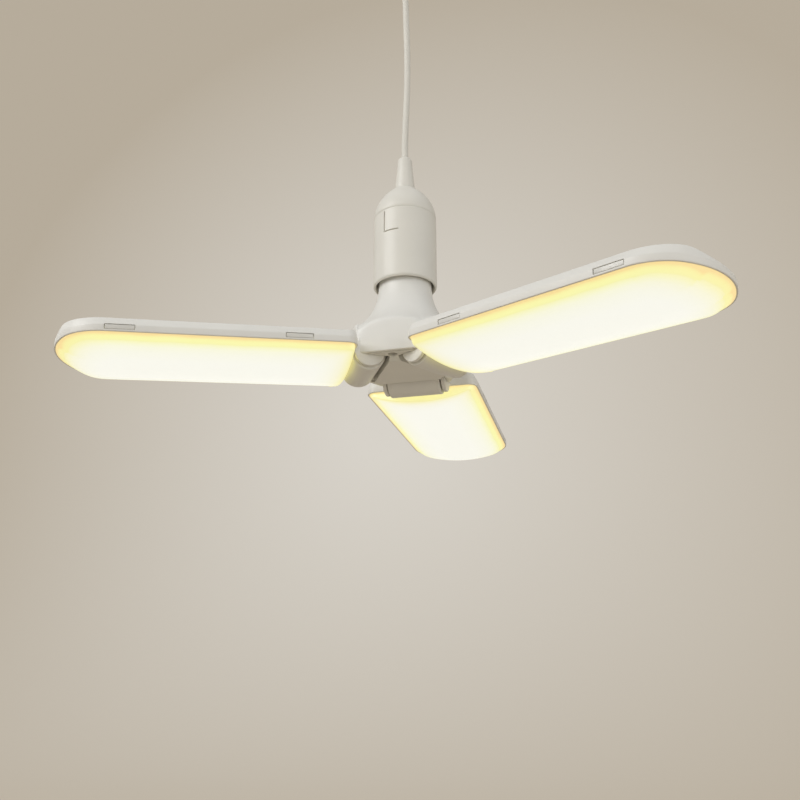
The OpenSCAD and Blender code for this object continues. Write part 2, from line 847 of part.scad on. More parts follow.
// Cross-section of the casing with bevelled back edges, along the whole panel, drawn in by d
module bevelled_section(d = 0) {
    half_w = panel_w / 2 - d;
    bevel_z = panel_h - edge_bevel_h;
    half_line = [[half_w + 1, -1], [half_w + 1, bevel_z], [half_w, bevel_z],
                 [half_w - edge_bevel_w, panel_h], [half_w - edge_bevel_w, panel_h + 1]];
    left_line = [for (i = [len(half_line) - 1 : -1 : 0]) [-half_line[i][0], half_line[i][1]]];
    translate([panel_root - 1, 0, 0]) rotate([90, 0, 90]) linear_extrude(panel_len + 2)
        polygon(concat(half_line, left_line));
}

// Places of the diffuser's clips along the two long walls
module at_clips() {
    for (x = clip_places) for (s = [-1, 1])
        translate([x, s * (panel_w / 2 - panel_wall), 0]) mirror([0, (s < 0) ? 1 : 0, 0]) children();
}

module casing(i) {
    recess_r = 3;
    color(plastic_white) hang() panel_at_rest(i) difference() {
        union() {
            intersection() {
                linear_extrude(panel_h) panel_outline();
                bevelled_section();
            }
            // knuckle and its neck
            translate([hinge_out, 0, hinge_up]) rotate([90, 0, 0])
                cylinder(r = knuckle_r, h = knuckle_w, center = true);
            translate([hinge_out, -knuckle_w / 2, 0])
                cube([panel_root - hinge_out + 1, knuckle_w, panel_h]);
            // step on the back that carries the neck
            translate([panel_root - 0.5, -knuckle_w / 2 - 2, panel_h - 1]) cube([6, knuckle_w + 4, 2]);
        }
        difference() {
            intersection() {
                translate([0, 0, -1]) linear_extrude(1 + back_in_z) panel_outline(panel_wall);
                bevelled_section(panel_wall);
            }
            translate([0, 0, -panel_back]) tip_slope();
        }
        tip_slope();
        // pin bore
        translate([hinge_out, 0, hinge_up]) rotate([90, 0, 0])
            cylinder(r = pin_r + pin_clear, h = knuckle_w + 2, center = true);
        // way for the leads
        translate([hinge_out - knuckle_r - 1, -4, hinge_up + pin_r + 1])
            cube([panel_root + 4 - hinge_out + knuckle_r, 8, 2]);
        // windows for the clips
        at_clips() translate([-clip_len / 2 - 0.2, -1, clip_z - 0.2])
            cube([clip_len + 0.4, panel_wall + 2, clip_h + 0.4]);
        // screw recesses
        for (x = screw_places) translate([x, 0, 0]) {
            translate([0, 0, panel_h - 1]) cylinder(r = recess_r, h = 4);
            cylinder(r = casing_screw_r() + slide_gap, h = panel_h + 1);
        }
    }
}

function casing_screw_r() = 1.25;

// Upright step just under the fold, so that the arch meets a wall and not an edge
function fold_step() = 0.15;

// Arched section across the panel, a circle through both folds and the crown, drawn in by d
module arch(d) {
    half_w = panel_w / 2 - panel_wall - slide_gap - dome_edge_w;
    rise = dome_h - dome_edge_h - fold_step();
    arch_r = (pow(half_w, 2) + pow(rise, 2)) / (2 * rise);
    translate([0, 0, arch_r - dome_h]) rotate([0, 90, 0])
        cylinder(r = arch_r - d, h = panel_tip + 2, $fn = 180);
}

// Side view of the arch, level along the panel and rising to the fold at the tip, drawn in by d
module tip_rise(d) {
    run = dome_tip_len - dome_edge_w;
    lift = dome_h - dome_edge_h - fold_step();
    rise_r = (pow(run, 2) + pow(lift, 2)) / (2 * lift);
    x = panel_tip - panel_wall - dome_tip_len;
    above = dome_h + 8;
    rotate([90, 0, 0]) linear_extrude(panel_w + 2, center = true) union() {
        translate([panel_root - 1, -dome_h + d]) square([x + 1 - panel_root, above]);
        translate([x - 2, -dome_edge_h - fold_step() / 2 + d]) square([dome_tip_len + 4, above]);
        intersection() {
            translate([x, rise_r - dome_h]) circle(r = rise_r - d, $fn = 180);
            translate([x, -dome_h]) square([run, above]);
        }
    }
}

// Outline of the fold between the border and the arch. The root's end wall stands nearly upright.
module fold_outline(edge) {
    draft = 0.05;
    inset = edge + dome_edge_w;
    half_w = panel_w / 2 - max(inset, root_corner_r);
    panel_outline(inset);
    translate([panel_root + edge + draft, -half_w]) square([2 * inset, 2 * half_w]);
}

// Solid under the diffuser's surface, drawn in by d and carried up to the height top
module diffuser_body(d, top) {
    edge = panel_wall + slide_gap + d;
    below = dome_h + 1;
    intersection() {
        hull() {
            linear_extrude(top) panel_outline(edge);
            translate([0, 0, -below]) linear_extrude(below - dome_edge_h) fold_outline(edge);
        }
        arch(d);
        tip_rise(d);
    }
}

module diffuser(i) {
    flange = 1.2;
    color(diffuser_white) hang() panel_at_rest(i) {
        difference() {
            diffuser_body(0, flange);
            diffuser_body(diffuser_t, flange + 1);
        }
        // clip tongues and their noses
        at_clips() {
            translate([-clip_len / 2 + 1, -slide_gap - diffuser_t + 0.2, flange - 0.5])
                cube([clip_len - 2, diffuser_t - 0.2, clip_z + clip_h - flange + 0.4]);
            translate([-clip_len / 2, -slide_gap - 0.4, clip_z])
                cube([clip_len, panel_wall + 0.4, clip_h]);
        }
    }
}

module light_board(i) {
    color("#e9ebe6") hang() panel_at_rest(i) difference() {
        translate([0, 0, board_z]) linear_extrude(board_t) panel_outline(board_inset);
        for (x = screw_places) translate([x, 0, board_z - 1])
            cylinder(r = casing_screw_r() + seat_clear, h = board_t + 2);
    }
}

module light_chips(i) {
    pitch_x = (panel_len - 2 * led_margin_x) / (led_count - 1);
    pitch_y = (panel_w - 2 * led_margin_y) / max(led_rows - 1, 1);
    color("#f2d25a") hang() panel_at_rest(i)
        for (a = [0 : led_count - 1]) for (b = [0 : led_rows - 1])
            translate([panel_root + led_margin_x + a * pitch_x - led_l / 2,
                       (b - (led_rows - 1) / 2) * pitch_y - led_w / 2 + chip_shift(),
                       board_z - led_t])
                cube([led_l, led_w, led_t]);
}

function chip_shift() = (led_rows % 2 == 1) ? 4 : 0;

module casing_screws(i) {
    head_r = 2.6;
    head_h = 1;
    color(metal_grey) hang() panel_at_rest(i) for (x = screw_places)
        translate([x, 0, panel_h - 1]) {
            difference() {
                cylinder(r = head_r, h = head_h);
                for (a = [45, 135]) rotate([0, 0, a])
                    translate([-1.4, -0.3, 0.4]) cube([2.8, 0.6, 2]);
            }
            translate([0, 0, board_z - panel_h + 1 + 0.1])
                cylinder(r = casing_screw_r(), h = panel_h - 1 - board_z);
            // spacer between the back and the board
            difference() {
                translate([0, 0, board_z + board_t - panel_h + 1 + seat_clear])
                    cylinder(r = 2.6, h = back_in_z - board_z - board_t - 2 * seat_clear);
                translate([0, 0, board_z - panel_h])
                    cylinder(r = casing_screw_r() - 0.1, h = panel_h);
            }
        }
}

module hinge_pin(i) {
    color(metal_grey) hang() toward_panel(i) translate([hinge_out, 0, hinge_up])
        rotate([90, 0, 0]) cylinder(r = pin_r, h = pin_len, center = true);
}

module hinge_washers(i) {
    mid = knuckle_w / 2 + slide_gap + washer_t / 2;
    color("#d8d8d2") hang() toward_panel(i) for (s = [-1, 1])
        translate([hinge_out, s * mid, hinge_up]) rotate([90, 0, 0]) difference() {
            cylinder(r = washer_r, h = washer_t, center = true);
            cylinder(r = pin_r + pin_clear, h = washer_t + 1, center = true);
        }
}

ceiling_bracket();
ceiling_rose();
rose_screws();
cord_grip();
terminal_block();
cord();
cord_cores();
strain_relief();
holder_dome();
holder_sleeve();
holder_core();
holder_shell();
holder_contact();
holder_terminals();
cap_contact();
cap_insulator();
cap_shell();
hub_housing();
hub_cover();
hub_screws();
driver_board();
driver_capacitor();
driver_choke();
driver_bridge();
cap_leads();
panel_leads();
casing(1);  // casing_1
casing(2);  // casing_2
casing(3);  // casing_3
diffuser(1);  // diffuser_1
diffuser(2);  // diffuser_2
diffuser(3);  // diffuser_3
light_board(1);  // light_board_1
light_board(2);  // light_board_2
light_board(3);  // light_board_3
light_chips(1);  // light_chips_1
light_chips(2);  // light_chips_2
light_chips(3);  // light_chips_3
casing_screws(1);  // casing_screws_1
casing_screws(2);  // casing_screws_2
casing_screws(3);  // casing_screws_3
hinge_pin(1);  // hinge_pin_1
hinge_pin(2);  // hinge_pin_2
hinge_pin(3);  // hinge_pin_3
hinge_washers(1);  // hinge_washers_1
hinge_washers(2);  // hinge_washers_2
hinge_washers(3);  // hinge_washers_3
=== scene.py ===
# %% [markdown]
# # A folding three-panel light in its corded lampholder
# The part comes from the workshop drawing as named solids. This lesson dresses them: it keeps the
# solids that are right, makes finer surfaces for the ones that are seen most, and gives each one
# the finish of its real material. The new surfaces are worked out in millimetres, and each is
# then placed in the scene, which is in metres. +Z is up towards the ceiling.

import math
import bmesh
import bpy
import numpy as np
from mathutils import Matrix, Vector


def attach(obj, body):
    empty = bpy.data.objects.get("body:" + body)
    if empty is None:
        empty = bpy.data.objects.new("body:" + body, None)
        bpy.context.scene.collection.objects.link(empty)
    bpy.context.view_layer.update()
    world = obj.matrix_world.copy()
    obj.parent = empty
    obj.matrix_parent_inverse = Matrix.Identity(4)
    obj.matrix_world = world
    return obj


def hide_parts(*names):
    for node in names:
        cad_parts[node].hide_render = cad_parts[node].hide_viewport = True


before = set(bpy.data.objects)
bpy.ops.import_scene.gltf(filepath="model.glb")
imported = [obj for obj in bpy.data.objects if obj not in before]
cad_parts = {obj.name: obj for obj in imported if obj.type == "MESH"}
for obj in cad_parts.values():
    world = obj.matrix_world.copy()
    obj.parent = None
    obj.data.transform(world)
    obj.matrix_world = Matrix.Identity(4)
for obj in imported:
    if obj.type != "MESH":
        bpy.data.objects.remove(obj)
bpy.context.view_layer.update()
MM = 0.001
TAU = 2 * math.pi
for plain_colour in list(bpy.data.materials):
    plain_colour.name += "_drawn"

# %% [markdown]
# The camera stands a little below the lamp and looks up at it, so the lit undersides of the
# panels show. Its place and lens come from fitting the drawing's edges to the photograph.

# %% The camera
TILT_UP = math.radians(17.8)
TURN = math.radians(15.55)
view_line = Vector((-math.sin(TURN) * math.cos(TILT_UP), math.cos(TURN) * math.cos(TILT_UP),
                    math.sin(TILT_UP)))
lens_data = bpy.data.cameras.new("studio_camera")
lens_data.lens = 34.26
lens_data.sensor_width = 36.0
lens_data.clip_start = 0.01
camera = bpy.data.objects.new("studio_camera", lens_data)
camera.location = (0.1083, -0.4008, -0.5009)
camera.rotation_euler = view_line.to_track_quat("-Z", "Y").to_euler()
bpy.context.scene.collection.objects.link(camera)
bpy.context.scene.camera = camera
print("camera", tuple(round(v, 4) for v in camera.location))

# %% [markdown]
# Every new piece is a surface worked out as a grid of points: a function of two parameters, such
# as direction and height. One helper joins the grid's cells into faces and closes the mesh.

# %% Grids of points become a mesh


def grid_faces(rows, columns, start, round_rows, round_columns):
    """Corner numbers of every cell of a grid; a closed direction joins its last line to its first."""
    r = np.arange(rows if round_rows else rows - 1)[:, None]
    c = np.arange(columns if round_columns else columns - 1)[None, :]
    r2, c2 = (r + 1) % rows, (c + 1) % columns
    cells = [r * columns + c, r * columns + c2, r2 * columns + c2, r2 * columns + c]
    return start + np.stack(np.broadcast_arrays(*cells), -1).reshape(-1, 4)


def closed_mesh(name, sheets, near=0.0005):
    """One object from several grids. Each sheet is (points, rows closed, columns closed). Points
    nearer than near are merged, so poles and seams close, and the faces are then turned outward."""
    points, faces, start = [], [], 0
    for sheet, round_rows, round_columns in sheets:
        rows, columns = sheet.shape[:2]
        faces.append(grid_faces(rows, columns, start, round_rows, round_columns))
        points.append(sheet.reshape(-1, 3))
        start += rows * columns
    mesh = bpy.data.meshes.new(name)
    mesh.from_pydata(np.concatenate(points).tolist(), [], np.concatenate(faces).tolist())
    work = bmesh.new()
    work.from_mesh(mesh)
    bmesh.ops.remove_doubles(work, verts=work.verts, dist=near)
    bmesh.ops.dissolve_degenerate(work, edges=work.edges, dist=near / 5)
    bmesh.ops.recalc_face_normals(work, faces=work.faces)
    work.to_mesh(mesh)
    work.free()
    piece = bpy.data.objects.new(name, mesh)
    bpy.context.scene.collection.objects.link(piece)
    return piece


print("grid helpers ready")

# %% [markdown]
# The lamp hangs on its own cord. A cord is a round section carried along one smooth line through
# the points of its route, from the clamp in the ceiling rose down into the lampholder's dome.
# It is nearly straight because the lamp's weight pulls on it, with the faint bow that a cord
# keeps from being wound up in its box.

# %% The cord
CORD_R = 2.1 * MM
cord_route = np.array([
    [0, 0, -11.8], [0, 0, -26], [0, 0, -38], [0.1, 0, -50], [0.4, 0.1, -66], [0.8, 0.2, -84],
    [1.2, 0.3, -102], [1.6, 0.4, -120], [1.7, 0.4, -137], [1.5, 0.4, -153], [1.0, 0.3, -168],
    [0.5, 0.1, -181], [0.1, 0, -194], [0, 0, -206], [0, 0, -220], [0, 0, -235]]) * MM


def eased_path(points, per_span=8):
    """A smooth path through the points. Between two points it is a cubic whose slope at each end is
    half the step from the point before to the point after, so neighbouring spans meet smoothly."""
    slope = np.gradient(points, axis=0)
    t = (np.arange(per_span) / per_span)[None, :, None]
    a, b, sa, sb = (v[:, None] for v in (points[:-1], points[1:], slope[:-1], slope[1:]))
    inside = (2 * t**3 - 3 * t**2 + 1) * a + (t**3 - 2 * t**2 + t) * sa \
        + (3 * t**2 - 2 * t**3) * b + (t**3 - t**2) * sb
    return np.concatenate((inside.reshape(-1, 3), points[-1:]))


def tube(path, radius, sides=20):
    """A round section carried along the path: path point + r cos a x one side + r sin a x other.
    The two sides are square to the path's direction. The ends close on the path itself."""
    ahead = np.gradient(path, axis=0)
    ahead /= np.linalg.norm(ahead, axis=1)[:, None]
    one = np.cross(ahead, [0.0, 1.0, 0.0])
    one /= np.linalg.norm(one, axis=1)[:, None]
    other = np.cross(ahead, one)
    angle = np.arange(sides) * TAU / sides
    rings = path[:, None] + radius * (np.cos(angle)[None, :, None] * one[:, None]
                                      + np.sin(angle)[None, :, None] * other[:, None])
    ends = np.repeat(path[[0, -1]][:, None], sides, 1)
    return np.concatenate((ends[:1], rings, ends[1:]))


cord_path = eased_path(cord_route)
hanging_cord = closed_mesh("hanging_cord", [(tube(cord_path, CORD_R), False, True)], 1e-7)
hanging_cord.data.shade_smooth()
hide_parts("cord")
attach(hanging_cord, "fixture")

# %% [markdown]
# Materials and the studio's surround are trees of nodes. A few small helpers make a node, feed its
# sockets and hand back its result, so that each tree below reads like a formula. An underscore in
# a socket's name stands for a space.

# %% Helpers for node trees


def node(tree, kind, **settings):
    """One new node, with its own settings applied."""
    made = tree.nodes.new(kind)
    for key, value in settings.items():
        setattr(made, key, value)
    return made


def feed(tree, target, value):
    """Joins an output to a socket, or writes a plain value into it."""
    if isinstance(value, bpy.types.NodeSocket):
        tree.links.new(value, target)
    elif isinstance(value, (tuple, list)) and len(value) == 3 and target.type == "RGBA":
        target.default_value = (*value, 1)
    else:
        target.default_value = value


def wire(tree, made, **values):
    """Feeds a node's named sockets and returns its outputs."""
    for label, value in values.items():
        feed(tree, made.inputs[label.replace("_", " ")], value)
    return made.outputs


def wire_in_order(tree, made, *values):
    """Feeds a node's sockets from the first one on and returns its first output."""
    for place, value in enumerate(values):
        feed(tree, made.inputs[place], value)
    return made.outputs[0]


def maths(tree, operation, *values):
    """One Math node and its result."""
    return wire_in_order(tree, node(tree, "ShaderNodeMath", operation=operation), *values)


def spread(tree, value, low, high, to_low, to_high):
    """A value remapped from low..high to to_low..to_high, held at the ends."""
    return wire(tree, node(tree, "ShaderNodeMapRange"), Value=value, From_Min=low, From_Max=high,
                To_Min=to_low, To_Max=to_high)[0]


def blend_colour(tree, share, first, second):
    """Two colours mixed by share."""
    made = node(tree, "ShaderNodeMix", data_type="RGBA")
    for place, value in ((0, share), (6, first), (7, second)):
        feed(tree, made.inputs[place], value)
    return made.outputs[2]


def noise(tree, place, scale, detail=2.0, roughness=0.5):
    """A soft random value over the surface."""
    return wire(tree, node(tree, "ShaderNodeTexNoise"), Vector=place, Scale=scale, Detail=detail,
                Roughness=roughness)[0]


def seen_rays(tree):
    """1 for camera, gloss and glass rays, and 0 for every other ray."""
    path = node(tree, "ShaderNodeLightPath").outputs
    return maths(tree, "MAXIMUM", path["Is Camera Ray"],
                 maths(tree, "MAXIMUM", path["Is Glossy Ray"], path["Is Transmission Ray"]))


print("node helpers ready")

# %% [markdown]
# The studio is a pale floor well below the lamp, a white surround, and two large soft lamps.
# Large lamps give soft shadows, and the pale floor throws light back up under the panels.

# %% The studio: two soft lamps


def soft_lamp(name, place, aim, width, watts):
    """A square area lamp of the given width at place, facing aim."""
    data = bpy.data.lights.new(name, "AREA")
    data.shape = "SQUARE"
    data.size = width
    data.energy = watts
    lamp = bpy.data.objects.new(name, data)
    lamp.location = place
    lamp.rotation_euler = (Vector(aim) - Vector(place)).to_track_quat("-Z", "Y").to_euler()
    bpy.context.scene.collection.objects.link(lamp)
    return lamp


lamp_middle = (0, 0, -0.30)
soft_lamp("key_lamp", (-1.0, -1.1, 0.55), lamp_middle, 1.0, 15)
soft_lamp("fill_lamp", (1.3, -0.7, -0.15), lamp_middle, 1.2, 6)
print("studio lamps", len(bpy.data.lights))

# %% The studio: the surround


def surround(world):
    """Camera, gloss and glass rays see white; every other ray gets the dimmer studio air."""
    world.use_nodes = True
    tree = world.node_tree
    tree.nodes.clear()
    white = wire(tree, node(tree, "ShaderNodeBackground"), Color=(0.93, 0.91, 0.87), Strength=1.0)
    air = wire(tree, node(tree, "ShaderNodeBackground"), Color=(0.95, 0.97, 1.0), Strength=0.42)
    mix = wire_in_order(tree, node(tree, "ShaderNodeMixShader"), seen_rays(tree), air[0], white[0])
    wire(tree, node(tree, "ShaderNodeOutputWorld"), Surface=mix)


world = bpy.data.worlds.new("studio_air")
bpy.context.scene.world = world
surround(world)
bpy.context.scene.view_settings.view_transform = "Standard"
print("surround nodes", len(world.node_tree.nodes))

# %% The studio: floor and wall
WALL_RISE = 6.0


def sweep(name, width, height, reach, bend):
    """Floor, bend and wall in one sheet: a profile carried from side to side. The profile runs
    level to reach, turns up through a quarter circle of radius bend, and goes on as a wall."""
    turn = np.linspace(0, TAU / 4, 25)
    y = np.concatenate(([-reach], reach + bend * np.sin(turn), [reach + bend]))
    z = np.concatenate(([height], height + bend * (1 - np.cos(turn)), [height + WALL_RISE]))
    x = np.array([-width / 2, width / 2])
    points = np.stack(np.broadcast_arrays(x[None, :], y[:, None], z[:, None]), -1).reshape(-1, 3)
    row = 2 * np.arange(len(y) - 1)
    mesh = bpy.data.meshes.new(name)
    mesh.from_pydata(points.tolist(), [], np.stack([row, row + 1, row + 3, row + 2], 1).tolist())
    mesh.shade_smooth()
    piece = bpy.data.objects.new(name, mesh)
    bpy.context.scene.collection.objects.link(piece)
    return piece


floor = sweep("studio_sweep", width=12.0, height=-0.85, reach=1.6, bend=1.4)
print("floor size m", [round(v, 1) for v in floor.dimensions])

# %% [markdown]
# Finishes are built from a few shared effects. Each effect is a node group with named inputs: it
# works out a mask, a height or a colour from the position on the piece, and the material that
# uses it decides what to do with the result.

# %% Making and placing an effect


def effect(name, inputs, outputs):
    """An empty node group with named inputs, numbers or colours, and named outputs."""
    group = bpy.data.node_groups.new(name, "ShaderNodeTree")
    for label, value in inputs.items():
        kind = "NodeSocketColor" if isinstance(value, tuple) else "NodeSocketFloat"
        socket = group.interface.new_socket(label, in_out="INPUT", socket_type=kind)
        socket.default_value = (*value, 1) if isinstance(value, tuple) else value
    for label, kind in outputs.items():
        group.interface.new_socket(label, in_out="OUTPUT", socket_type=kind)
    return group, node(group, "NodeGroupInput").outputs, node(group, "NodeGroupOutput")


def use(tree, group, **values):
    """Places an effect in a material with its own values."""
    return wire(tree, node(tree, "ShaderNodeGroup", node_tree=group), **values)


print("effect helpers ready")

# %% Shared effect: moulded grain
# Injection-moulded plastic carries the fine spark texture of its mould and, over a few
# centimetres, faint waves where the melt cooled unevenly.
grain, g_in, g_out = effect(
    "moulded_grain",
    {"Grain Size": 0.0004, "Wave Size": 0.02, "Colour": (0.8, 0.8, 0.8), "Drift": 0.03},
    {"Height": "NodeSocketFloat", "Wear": "NodeSocketFloat", "Colour": "NodeSocketColor"})
g_place = node(grain, "ShaderNodeTexCoord").outputs["Object"]
g_fine = noise(grain, g_place, maths(grain, "DIVIDE", 1.0, g_in["Grain Size"]), 2.0, 0.6)
g_wave = noise(grain, g_place, maths(grain, "DIVIDE", 1.0, g_in["Wave Size"]), 1.0, 0.4)
g_wear = noise(grain, g_place, 90.0, 4.0, 0.65)
g_patches = maths(grain, "MULTIPLY_ADD", g_wave, 0.6, maths(grain, "MULTIPLY", g_wear, 0.4))
g_shift = spread(grain, g_patches, 0.3, 0.7, maths(grain, "SUBTRACT", 1.0, g_in["Drift"]),
                 maths(grain, "ADD", 1.0, g_in["Drift"]))
g_tone = wire(grain, node(grain, "ShaderNodeVectorMath", operation="SCALE"),
              Vector=g_in["Colour"], Scale=g_shift)
wire(grain, g_out, Wear=g_wear, Height=maths(grain, "MULTIPLY_ADD", g_fine, 0.35, g_wave),
     Colour=g_tone[0])
print("effect", grain.name)

# %% Shared effect: dust that settles on upward faces
# A hung lamp gathers a thin film of dust on what faces the ceiling and none underneath.
dust, d_in, d_out = effect("settled_dust", {"Amount": 0.3, "Patch Size": 0.01},
                           {"Cover": "NodeSocketFloat"})
d_place = node(dust, "ShaderNodeTexCoord").outputs
d_normal = wire(dust, node(dust, "ShaderNodeSeparateXYZ"), Vector=d_place["Normal"])
d_up = spread(dust, d_normal["Z"], 0.35, 1.0, 0.0, 1.0)
d_spots = noise(dust, d_place["Object"], maths(dust, "DIVIDE", 1.0, d_in["Patch Size"]), 5.0, 0.6)
d_patch = spread(dust, d_spots, 0.3, 0.75, 0.35, 1.0)
wire(dust, d_out, Cover=maths(dust, "MULTIPLY", maths(dust, "MULTIPLY", d_up, d_patch),
                              d_in["Amount"]))
print("effect", dust.name)

# %% Shared effect: rounded edges
# No moulded or stamped edge is perfectly sharp. The Bevel node rounds the shading of an edge.
soft_edge, e_in, e_out = effect("softened_edge", {"Radius": 0.0004, "Height": 0.0, "Depth": 0.00005},
                                {"Normal": "NodeSocketVector"})
e_bevel = wire(soft_edge, node(soft_edge, "ShaderNodeBevel", samples=4), Radius=e_in["Radius"])
e_bump = wire(soft_edge, node(soft_edge, "ShaderNodeBump"), Strength=1.0, Distance=e_in["Depth"],
              Height=e_in["Height"], Normal=e_bevel[0])
wire(soft_edge, e_out, Normal=e_bump[0])
print("effect", soft_edge.name)

# %% [markdown]
# Each material starts as a Principled shader. `finish_of` makes it, and each kind of material then
# adds what makes it look like itself: moulded plastic below, then the opal cover and the metals.

# %% Start of a material, and moulded plastic
DUST_COLOUR, PLASTIC_DRIFT, MOULD_EDGE = (0.55, 0.52, 0.47), 0.02, 0.0005
METAL_EDGE = 0.0003


def finish_of(name, metallic=0.0, ior=1.46, coat=0.0, coat_rough=0.1):
    """A new material: its node tree and its Principled shader."""
    made = bpy.data.materials.new(name)
    made.use_nodes = True
    tree = made.node_tree
    shader = tree.nodes["Principled BSDF"]
    wire(tree, shader, Metallic=metallic, IOR=ior, Coat_Weight=coat, Coat_Roughness=coat_rough)
    return made, tree, shader


def moulded(name, colour, rough, grain_size=0.0004, depth=0.00003, dusty=0.25, ior=1.46):
    """Moulded plastic: grain, softened edges, worn gloss and a film of dust on top faces."""
    made, tree, shader = finish_of(name, ior=ior)
    skin = use(tree, grain, Grain_Size=grain_size, Colour=colour, Drift=PLASTIC_DRIFT)
    film = use(tree, dust, Amount=dusty)
    shape = use(tree, soft_edge, Radius=MOULD_EDGE, Height=skin["Height"], Depth=depth)
    polished = spread(tree, skin["Wear"], 0.3, 0.7, rough - 0.06, rough + 0.06)
    wire(tree, shader, Normal=shape["Normal"],
         Base_Color=blend_colour(tree, film["Cover"], skin["Colour"], DUST_COLOUR),
         Roughness=maths(tree, "MULTIPLY_ADD", film["Cover"], 0.5, polished))
    return made


# %% The plastics
white_plastic = moulded("white_plastic", (0.80, 0.78, 0.72), 0.38)
holder_plastic = moulded("holder_plastic", (0.76, 0.73, 0.65), 0.38)
terminal_plastic = moulded("terminal_plastic", (0.78, 0.76, 0.70), 0.5)
washer_plastic = moulded("washer_plastic", (0.62, 0.62, 0.60), 0.45, dusty=0.0)
cord_sheath = moulded("cord_sheath", (0.72, 0.69, 0.61), 0.5, grain_size=0.0008, depth=0.00006)
black_epoxy = moulded("black_epoxy", (0.02, 0.02, 0.022), 0.55, dusty=0.1)
core_insulation = moulded("core_insulation", (0.17, 0.08, 0.04), 0.45, dusty=0.0)
lead_insulation = moulded("lead_insulation", (0.40, 0.03, 0.02), 0.4, dusty=0.0)
print("plastics made")

# %% The opal diffuser
# The opal cover glows from the chips behind it: nearly white over the rows of chips, then cream,
# then pale yellow on the steep border, with a faint line along the fold, and orange at the rim,
# where the light has travelled furthest through the plastic.
# The cover's points carry three attributes: rim_distance, in millimetres from the panel's edge,
# end_share, 1 at the root and at the tip, and lit, 0 on the clips that stand inside the casing.
# GLOW_STEPS gives the colour of the glow at a distance from the edge, in millimetres.
GLOW_REACH = 36.0
GLOW_STEPS = {1.7: (0.77, 0.575, 0.20), 2.4: (0.77, 0.71, 0.25), 3.2: (0.77, 0.765, 0.277),
              4.7: (0.755, 0.765, 0.298), 5.0: (0.73, 0.72, 0.298), 5.4: (0.765, 0.77, 0.39),
              7.6: (0.765, 0.78, 0.53), 9.5: (0.765, 0.78, 0.61), 13.5: (0.765, 0.78, 0.68),
              22.0: (0.77, 0.785, 0.73)}
RIM_ORANGE, OPAL_WHITE, UNLIT_WHITE = (0.77, 0.57, 0.21), (0.40, 0.39, 0.375), (0.70, 0.68, 0.62)


def opal(name):
    """Milky plastic that shines by itself; the glow warms towards the rim of the panel."""
    made, tree, shader = finish_of(name, ior=1.5, coat=0.2, coat_rough=0.12)
    rim, end, lit = (node(tree, "ShaderNodeAttribute", attribute_name=label).outputs["Fac"]
                     for label in ("rim_distance", "end_share", "lit"))
    skin = use(tree, grain, Grain_Size=0.0007, Colour=OPAL_WHITE, Drift=0.01)
    cloud = noise(tree, node(tree, "ShaderNodeTexCoord").outputs["Object"], 60.0, 2.0)
    reach = maths(tree, "ADD", rim, spread(tree, cloud, 0.3, 0.7, -0.25, 0.25))
    ramp = node(tree, "ShaderNodeValToRGB")
    wire(tree, ramp, Fac=maths(tree, "DIVIDE", reach, GLOW_REACH))
    stops = ramp.color_ramp.elements
    for _ in range(len(GLOW_STEPS) - len(stops)):
        stops.new(0.5)
    for stop, (millimetres, colour) in zip(stops, GLOW_STEPS.items()):
        stop.position = millimetres / GLOW_REACH
        stop.color = (*colour, 1)
    warm = maths(tree, "MULTIPLY", end, spread(tree, rim, 1.7, 18.0, 0.28, 0.0))
    glow = blend_colour(tree, warm, ramp.outputs[0], RIM_ORANGE)
    wire(tree, shader, Base_Color=blend_colour(tree, lit, UNLIT_WHITE, skin["Colour"]),
         Roughness=spread(tree, skin["Wear"], 0.3, 0.7, 0.30, 0.40),
         Emission_Color=blend_colour(tree, lit, (0, 0, 0), glow), Emission_Strength=1.0)
    return made


opal_diffuser = opal("opal_diffuser")
print("opal made")

# %% The metals and the rest


def plated(name, colour, rough, streak=(400, 400, 40), stain=(0.3, 0.24, 0.16)):
    """Plated or rolled metal: fine streaks in the roughness, and a little tarnish in patches."""
    made, tree, shader = finish_of(name, metallic=1.0)
    place = wire(tree, node(tree, "ShaderNodeMapping"), Scale=streak,
                 Vector=node(tree, "ShaderNodeTexCoord").outputs["Object"])
    fine = noise(tree, place[0], 4.0, 3.0, 0.6)
    skin = use(tree, grain, Grain_Size=0.0012, Colour=colour, Drift=0.05)
    tarnish = spread(tree, skin["Wear"], 0.56, 0.72, 0.0, 0.35)
    streaks = spread(tree, fine, 0.3, 0.7, rough - 0.05, rough + 0.08)
    shape = use(tree, soft_edge, Radius=METAL_EDGE, Height=fine, Depth=0.00001)
    wire(tree, shader, Base_Color=blend_colour(tree, tarnish, skin["Colour"], stain),
         Roughness=maths(tree, "ADD", streaks, maths(tree, "MULTIPLY", tarnish, 0.3)),
         Normal=shape["Normal"])
    return made


nickel_cap = plated("nickel_cap", (0.62, 0.61, 0.58), 0.22)
brass_sheet = plated("brass_sheet", (0.62, 0.42, 0.13), 0.28, stain=(0.12, 0.05, 0.02))
zinc_steel = plated("zinc_steel", (0.55, 0.57, 0.60), 0.32)
pin_steel = plated("pin_steel", (0.50, 0.50, 0.51), 0.25, streak=(40, 40, 900))
ceramic_core = moulded("ceramic_core", (0.78, 0.75, 0.68), 0.6, grain_size=0.0009, depth=0.00008)
cap_glass = moulded("cap_glass", (0.012, 0.012, 0.016), 0.08, depth=0.00001, dusty=0.0, ior=1.52)
light_board = moulded("light_board", (0.80, 0.82, 0.80), 0.35, dusty=0.0)
driver_board = moulded("driver_board", (0.03, 0.16, 0.07), 0.3, dusty=0.05)
capacitor_sleeve = moulded("capacitor_sleeve", (0.03, 0.035, 0.06), 0.25, dusty=0.05)
choke_winding = plated("choke_winding", (0.50, 0.20, 0.07), 0.3, streak=(60, 60, 1400))
light_chip = moulded("light_chip", (0.85, 0.62, 0.12), 0.25, dusty=0.0)
